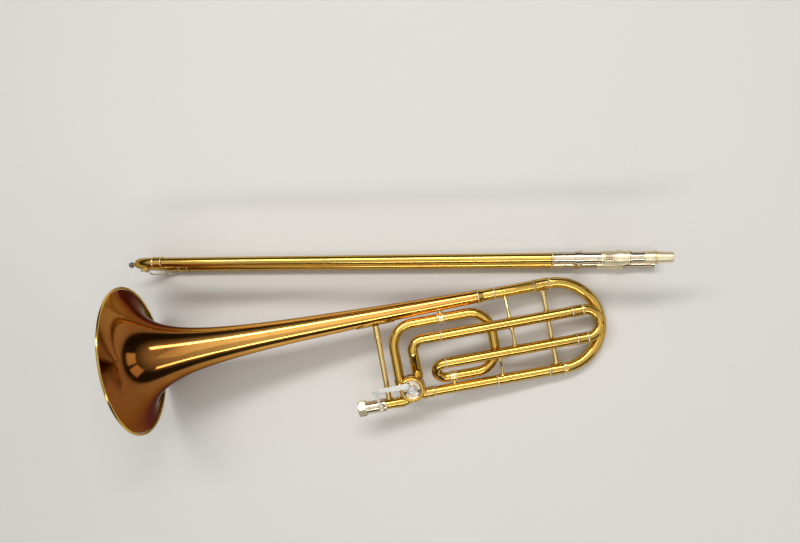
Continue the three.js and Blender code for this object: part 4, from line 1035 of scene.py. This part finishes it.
def add_paddle(shape, base):
    """The lever's web and its curved paddle, which stands up beside the receiver."""
    x, y, _ = LEVER_PIVOT
    web = bar_outline((x - 2.2, y + 8.2), (x - 5.6, y + 21), 1.1, 1.1)
    shape.slab(web, 17.2, base + 0.9)
    tall = base + 1 - PADDLE_FOOT_Z
    middle = PADDLE_FOOT_Z + tall / 2
    blade = route([(x - 6.6, y + 20.6, middle), (x - 1, y + 22, middle),
                   (x + 10, y + 20.4, middle)], 18)
    widths = []
    for i in range(len(blade)):
        rise = math.sin(math.pi * (0.12 + 0.76 * i / (len(blade) - 1)))
        widths.append((0.55 + 0.45 * min(1, rise * 1.25), 1))
    shape.sweep(blade, rounded_bar(tall, 2.4, 1.1), side=Vector((0, 0, 1)), widths=widths)


# ---------------- hand slide


def barrel_outline(side):
    """A cork barrel, with a seat for the lock's ring on the bell side."""
    start, end = BARREL_X
    lock_start, lock_end = LOCK_RING_X[0] - GAP, LOCK_RING_X[1] + GAP
    ring, r = BARREL_RING, BARREL_RADIUS
    inner = OUTER_TUBE[0] + 0.5
    tube = INNER_TUBE[0] + GAP
    if side == "bell_side":
        seat = LOCK_RING_INNER - GAP
        front = [(ring - 0.4, start), (ring - 0.4, lock_start), (seat, lock_start), (seat, lock_end),
                 (r + 0.3, lock_end), (r + 0.3, lock_end + 1.5), (r, lock_end + 1.9)]
    else:
        front = [(ring - 0.4, start), (ring - 0.4, start + 2.5), (r, start + 2.8)]
    return [
        (inner, start), *front, (r, end - 2.8), (ring, end - 2.5), (ring, end), (tube, end),
        (tube, end - 14), (inner, end - 14),
    ]


def make_inner_slide():
    body = "inner_slide"
    along = Vector((1, 0, 0))
    for side, z in (("bell_side", HIGH_Z), ("mouthpiece_side", LOW_Z)):
        hollow("barrel_" + side, barrel_outline(side), 0, z, SLIDE, body, "bead_silver",
               "cork_barrel_" + side, soft=0.25)
        way = [(Vector((x, 0, z)), along) for x in (CROOK_FERRULE_END_X + 4, BARREL_X[1] + 0.2)]
        piece("stocking_tube_" + side, Shape().pipe(way, *INNER_TUBE, sides=ROUND), SLIDE, body,
              "chrome_plate", "inner_tube_" + side)
    make_slide_brace("inner_grip", INNER_BRACE_X, BARREL_RADIUS + GAP, INNER_COLLAR, 4.5, body,
                     "bead_silver", "inner_slide_brace")
    make_tenon()
    make_mouthpiece_receiver()


def make_slide_brace(name, x, inner, outer, half, body, look, node):
    """A grip rod across the two legs with a collar round each."""
    shape = Shape()
    for z in (HIGH_Z, LOW_Z):
        shape.along_x(ring_outline(inner, outer, x - half, x + half), 0, z, soft=0.4)
    bottom, top = LOW_Z + outer - 0.3, HIGH_Z - outer + 0.3
    length = top - bottom
    grip = [(0, 0), (5.4, 0), (5.2, 1.6), (4.4, 2.2), (4.2, 5), (3.6, 7), (3.6, length / 2 - 2),
            (4, length / 2 - 1.6)]
    shape.turned(mirrored(grip, 0, length), (x, 0, bottom), (x, 0, top), sides=48, soft=0.4)
    piece(name, shape, SLIDE, body, look, node)


def make_tenon():
    start, seam, bore, tip = BARREL_X[1] + GAP, TENON_SEAM_X, TENON_BORE, TENON_TIP_X
    shaft = [(bore, start), (9.4, start), (9.4, start + 1.8), (7.9, start + 2), (7.9, seam),
             (bore, seam)]
    hollow("slide_tenon", shaft, 0, HIGH_Z, SLIDE, "inner_slide", "nickel_silver", "bell_tenon",
           sides=80, soft=0.12)
    threads = []
    first, last = TENON_THREAD_X
    for k in range(6):
        threads += [(9.3, first + k * 0.78), (8.8, first + 0.4 + k * 0.78)]
    collar = [
        (bore, seam), (8.4, seam), (8.4, seam + 1.2), (8.9, seam + 1.6), (8.9, first - 1.9),
        (9.3, first - 1.7), *threads, (9, last), (8, last + 0.2), (7.4, tip - 1.2), (7.1, tip),
        (bore, tip),
    ]
    hollow("tenon_collar", collar, 0, HIGH_Z, SLIDE, "inner_slide", "bead_silver",
           sides=80, soft=0.12)


def make_mouthpiece_receiver():
    start, end = BARREL_X[1] + GAP, MOUTHPIECE_END_X
    outline = [
        (6, start), (9.8, start), (9.8, start + 1.8), (8, start + 2), (8, end - 12),
        (8.4, end - 11.6), (8.4, end - 10.4), (8, end - 10), (8, end - 6), (9.2, end - 5), (9.2, end),
        (6.9, end), (6, end - 30),
    ]
    hollow("mouthpiece_socket", outline, 0, LOW_Z, SLIDE, "inner_slide", "nickel_silver",
           "mouthpiece_receiver", soft=0.3)


def make_slide_lock():
    start, end = LOCK_RING_X
    inner, outer = LOCK_RING_INNER, LOCK_RING_RADIUS
    rim = outer - 0.05
    half = [(inner, 0), (outer - 0.3, 0), (rim, 0.4), (rim, 1.4), (outer, 1.6)]
    middles = [math.radians(270 + lean) for lean in LOCK_GROOVES]

    def grooved(angle, radius):
        in_groove = any(abs(angle - middle) < 0.085 for middle in middles)
        return radius - 0.85 if in_groove and radius > outer - 0.01 else radius

    hollow("lock_ring", mirrored(half, start, end), 0, HIGH_Z, SLIDE, "slide_lock", "bead_silver",
           "slide_lock", sides=240, trim=grooved, soft=0.1)
    # Painted shade: dark strips with the cork look, laid at the bottoms of the lock ring's grooves to
    # darken them as shade would.
    shape = Shape()
    along = Vector((1, 0, 0))
    for lean in LOCK_GROOVES:
        out = Vector((0, math.sin(math.radians(lean)), math.cos(math.radians(lean))))
        at = Vector((0, 0, HIGH_Z)) + out * (outer - 0.75)
        way = [(at + along * (start + 1.7), along), (at + along * (end - 1.7), along)]
        shape.sweep(way, rounded_bar(1.5, 0.3, 0.1), side=along.cross(out))
    piece("lock_groove_shade_strips", shape, SLIDE, "slide_lock", "cork")


def make_outer_slide():
    body = "outer_slide"
    outer, inner = OUTER_TUBE
    sleeve_start, sleeve_end = OVERSLEEVE_X
    start = CROOK_FERRULE_END_X + GAP
    end = BARREL_X[0] + 20
    seat, r = outer + GAP, OVERSLEEVE_RADIUS
    tube = [
        (inner, start), (outer, start), (outer, sleeve_start - 3.6), (outer + 0.9, sleeve_start - 3.4),
        (outer + 0.9, sleeve_start - GAP), (outer, sleeve_start - GAP), (outer, end), (inner, end),
    ]
    sleeve = [
        (seat, sleeve_start), (r, sleeve_start), (r, sleeve_end - 4), (r + 0.3, sleeve_end - 3.6),
        (r + 0.3, sleeve_end - 2.4), (r, sleeve_end - 2), (r, sleeve_end), (seat, sleeve_end),
    ]
    for side, z in (("bell_side", HIGH_Z), ("mouthpiece_side", LOW_Z)):
        hollow("slide_tube_" + side, tube, 0, z, SLIDE, body, "lacquered_brass",
               "outer_tube_" + side, soft=0.25)
        hollow("nickel_sleeve_" + side, sleeve, 0, z, SLIDE, body, "nickel_silver",
               "oversleeve_" + side, soft=0.2)
    make_slide_brace("outer_grip", OUTER_BRACE_X, r + GAP, r + 1.3, 5, body, "nickel_silver",
                     "outer_slide_brace")
    make_crook()


KEY = Vector((35, -11.8, HIGH_Z - 4.2))


def make_crook():
    body = "outer_slide"
    start, end = CROOK_X + 0.2, CROOK_FERRULE_END_X - 0.1
    tip = CROOK_X - CROOK_BEND
    way = route([(end - 0.4, 0, HIGH_Z), (tip, 0, HIGH_Z), (tip, 0, LOW_Z), (end - 0.4, 0, LOW_Z)],
                CROOK_BEND, 20)
    shape = Shape().pipe(way, *CROOK_TUBE, sides=ROUND)
    half = [(7.25, 0), (8.9, 0), (8.9, 2), (8.3, 2.3)]
    for z in (HIGH_Z, LOW_Z):
        shape.along_x(closed(mirrored(half, start, end)), 0, z, soft=0.25)
    seat_x = tip - 6.8
    neck = seat_x - BUMPER_BASE_X - GAP
    seat = [(0, 0), (6, 0), (5.5, 2.4), (4.2, 4), (3.2, 4.6), (2.6, 5.6), (2.6, neck), (0, neck)]
    tip_point = (BUMPER_TIP_X, 0, MID_Z)
    shape.turned(seat, (seat_x, 0, MID_Z), tip_point, sides=48, soft=0.5)
    add_key_saddle(shape)
    piece("slide_bow_crook", shape, SLIDE, body, "lacquered_brass", "slide_crook")
    length = BUMPER_BASE_X - BUMPER_TIP_X
    bumper = [(0, 0), (2.6, 0), (4, 1.2), (4.6, 3), (4.6, length - 1.2), (3.8, length), (0, length)]
    shape = Shape().turned(bumper, tip_point, (0, 0, MID_Z), sides=48, soft=0.9)
    piece("bumper_tip", shape, SLIDE, body, "rubber", "slide_bumper")
    make_water_key()


def add_key_saddle(shape):
    x, y, z = KEY
    for side in (1, -1):
        outline = bar_outline((x, y), (x, y + 6.2), 2.4, 2.4)
        shape.slab(outline, z + side * 4.4 - 0.7, z + side * 4.4 + 0.7)
    pin = mirrored([(0, 0), (1.5, 0), (1.5, 0.7), (1, 0.8)], -6, 6)
    shape.turned(pin, (x, y, z), (x, y, z + 1), sides=24, soft=0.15)
    bridge = [(Vector((x + end, y + 5.6, z)), Vector((1, 0, 0))) for end in (-2.3, 2.3)]
    shape.sweep(bridge, rounded_bar(10.6, 2.4, 0.5), side=Vector((0, 0, 1)))
    nipple = closed([(1.6, 0), (1.6, 6), (2.4, 6), (2.7, 4.6), (3.2, 0)])
    shape.turned(nipple, (x - 7.6, -6.8, z - 1), (x - 7.6, -99, z - 1), sides=32, soft=0.15)


def make_water_key():
    x, y, z = KEY
    arm_y = y - 6.2
    shape = Shape()
    way = route([(x - 8, y - 0.4, z), (x, y + 0.1, z), (x + 8, arm_y, z), (x + 40, arm_y, z)],
                [8, 10], 20)
    widths = []
    for i in range(len(way)):
        share = i / (len(way) - 1)
        widths.append((1 + 0.2 * math.cos(math.tau * share), 1.2 - 0.5 * share))
    shape.sweep(way, rounded_bar(4.2, 2.4, 0.8), side=Vector((0, 0, 1)), widths=widths)
    shape.turned(ring_outline(1.3, 2.3, -3.3, 3.3), KEY, (x, y, z + 1), sides=32, soft=0.2)
    pad = [(0, -1.1), (3.6, -1.1), (4.4, -0.5), (4.4, 0.6), (3.8, 1.1), (0, 1.1)]
    shape.turned(pad, (x + 40, arm_y, z), (x + 40, y, z), sides=40, soft=0.4)
    cup = [(0, -1.6), (2.6, -1.6), (3.1, -1), (3.1, 1), (0, 1)]
    seat, above = (x - 8, y - 0.2, z - 0.6), (x - 8, y + 9, z - 0.6)
    shape.turned(cup, seat, above, sides=32, soft=0.3)
    piece("water_key_lever", shape, SLIDE, "water_key", "nickel_silver", "water_key")
    cork = [(0, 0.9), (2.7, 0.9), (2.6, 2.2), (0, 2.2)]
    shape = Shape().turned(cork, seat, above, sides=32, soft=0.3)
    piece("water_key_cork", shape, SLIDE, "water_key", "cork")
    coil = helix(Vector((x, y, z - 3.2)), Vector((0, 0, 1)), 2.9, 7, 0.9)
    spring = Shape().sweep(coil, circle(0.32, 8))
    piece("water_key_spring", spring, SLIDE, "outer_slide", "chrome_plate")


# ---------------- floor, light and camera


def make_floor():
    half = 20.0
    corners = [(-half, -half, 0), (half, -half, 0), (half, half, 0), (-half, half, 0)]
    mesh = bpy.data.meshes.new("studio_floor")
    mesh.from_pydata(corners, [], [(0, 1, 2, 3)])
    floor = bpy.data.objects.new("studio_floor", mesh)
    floor.location.z = cad_box[0].z - 0.0004
    bpy.context.scene.collection.objects.link(floor)
    look = Nodes("pale_floor")
    tone = look.mixed(look.noise(2.2, 4, 0.55), (0.72, 0.72, 0.72), (0.76, 0.76, 0.755))
    look.link(tone, look.shader.inputs["Base Color"])
    look.set(Roughness=0.75)
    mesh.materials.append(look.material)


def softbox(name, place, aim, size, power, colour=(1, 1, 1)):
    light = bpy.data.lights.new(name, "AREA")
    light.shape = "RECTANGLE"
    light.size, light.size_y = size
    light.energy = power
    light.color = colour
    made = bpy.data.objects.new(name, light)
    made.location = place
    made.rotation_euler = (Vector(aim) - Vector(place)).to_track_quat("-Z", "Y").to_euler()
    bpy.context.scene.collection.objects.link(made)


def make_lights():
    softbox("overhead_softbox", (0.15, 0.1, 2.3), (0.05, 0, 0), (1.8, 0.9), 2.6, (1, 0.97, 0.92))
    softbox("key_strip", (-0.2, 1.1, 1.9), (0, 0, 0), (2.2, 0.32), 24, (1, 0.97, 0.93))
    softbox("fill_strip", (0.2, -1.5, 1.5), (0, 0, 0), (1.8, 0.22), 9, (1, 0.96, 0.9))
    for name, y in (("window_near", -0.62), ("window_far", 0.55)):
        softbox(name, (2.1, y, 0.95), (-0.35, -0.05, 0.1), (0.95, 0.85), 2.6, (1, 0.88, 0.72))


def make_world():
    """A sky that is dark at the horizon and pale overhead."""
    world = bpy.data.worlds.new("studio")
    world.use_nodes = True
    tree = world.node_tree
    background = tree.nodes["Background"]
    place = tree.nodes.new("ShaderNodeTexCoord")
    split = tree.nodes.new("ShaderNodeSeparateXYZ")
    ramp = tree.nodes.new("ShaderNodeValToRGB")
    tree.links.new(place.outputs["Generated"], split.inputs[0])
    tree.links.new(split.outputs["Z"], ramp.inputs["Fac"])
    tree.links.new(ramp.outputs["Color"], background.inputs["Color"])
    stops = ramp.color_ramp.elements
    stops[0].position, stops[0].color = 0.0, (0.035, 0.032, 0.03, 1)
    stops[1].position, stops[1].color = 1.0, (0.66, 0.64, 0.607, 1)
    for position, level in ((0.4, 0.03), (0.62, 0.3), (0.8, 0.62)):
        stops.new(position).color = (level, level * 0.97, level * 0.92, 1)
    background.inputs["Strength"].default_value = 1.0
    bpy.context.scene.world = world


def make_camera():
    camera = bpy.data.objects.new("camera", bpy.data.cameras.new("camera"))
    camera.data.sensor_width = 36
    camera.data.lens = 31.5
    camera.data.clip_start = 0.05
    right = Vector((0.98046, 0.00591, -0.19663))
    up = Vector((0.00733, 0.99775, 0.06657))
    back = right.cross(up)
    turn = Matrix((right, up, back)).transposed()
    place = Vector((BELL.translation.x + 0.6112, BELL.translation.y + 0.0665, 1.0904))
    camera.matrix_world = Matrix.Translation(place) @ turn.to_4x4()
    bpy.context.scene.collection.objects.link(camera)
    bpy.context.scene.camera = camera


for make in (
    make_bell, make_tail_ferrule, make_main_tuning_slide, make_beads, make_attachment,
    make_neckpipe, make_receiver_and_nut, make_bell_brace, make_tube_braces, make_valve, make_rotor,
    make_lever, make_inner_slide, make_slide_lock, make_outer_slide, make_floor, make_lights,
    make_world, make_camera,
):
    make()
bpy.context.scene.view_settings.view_transform = "Standard"
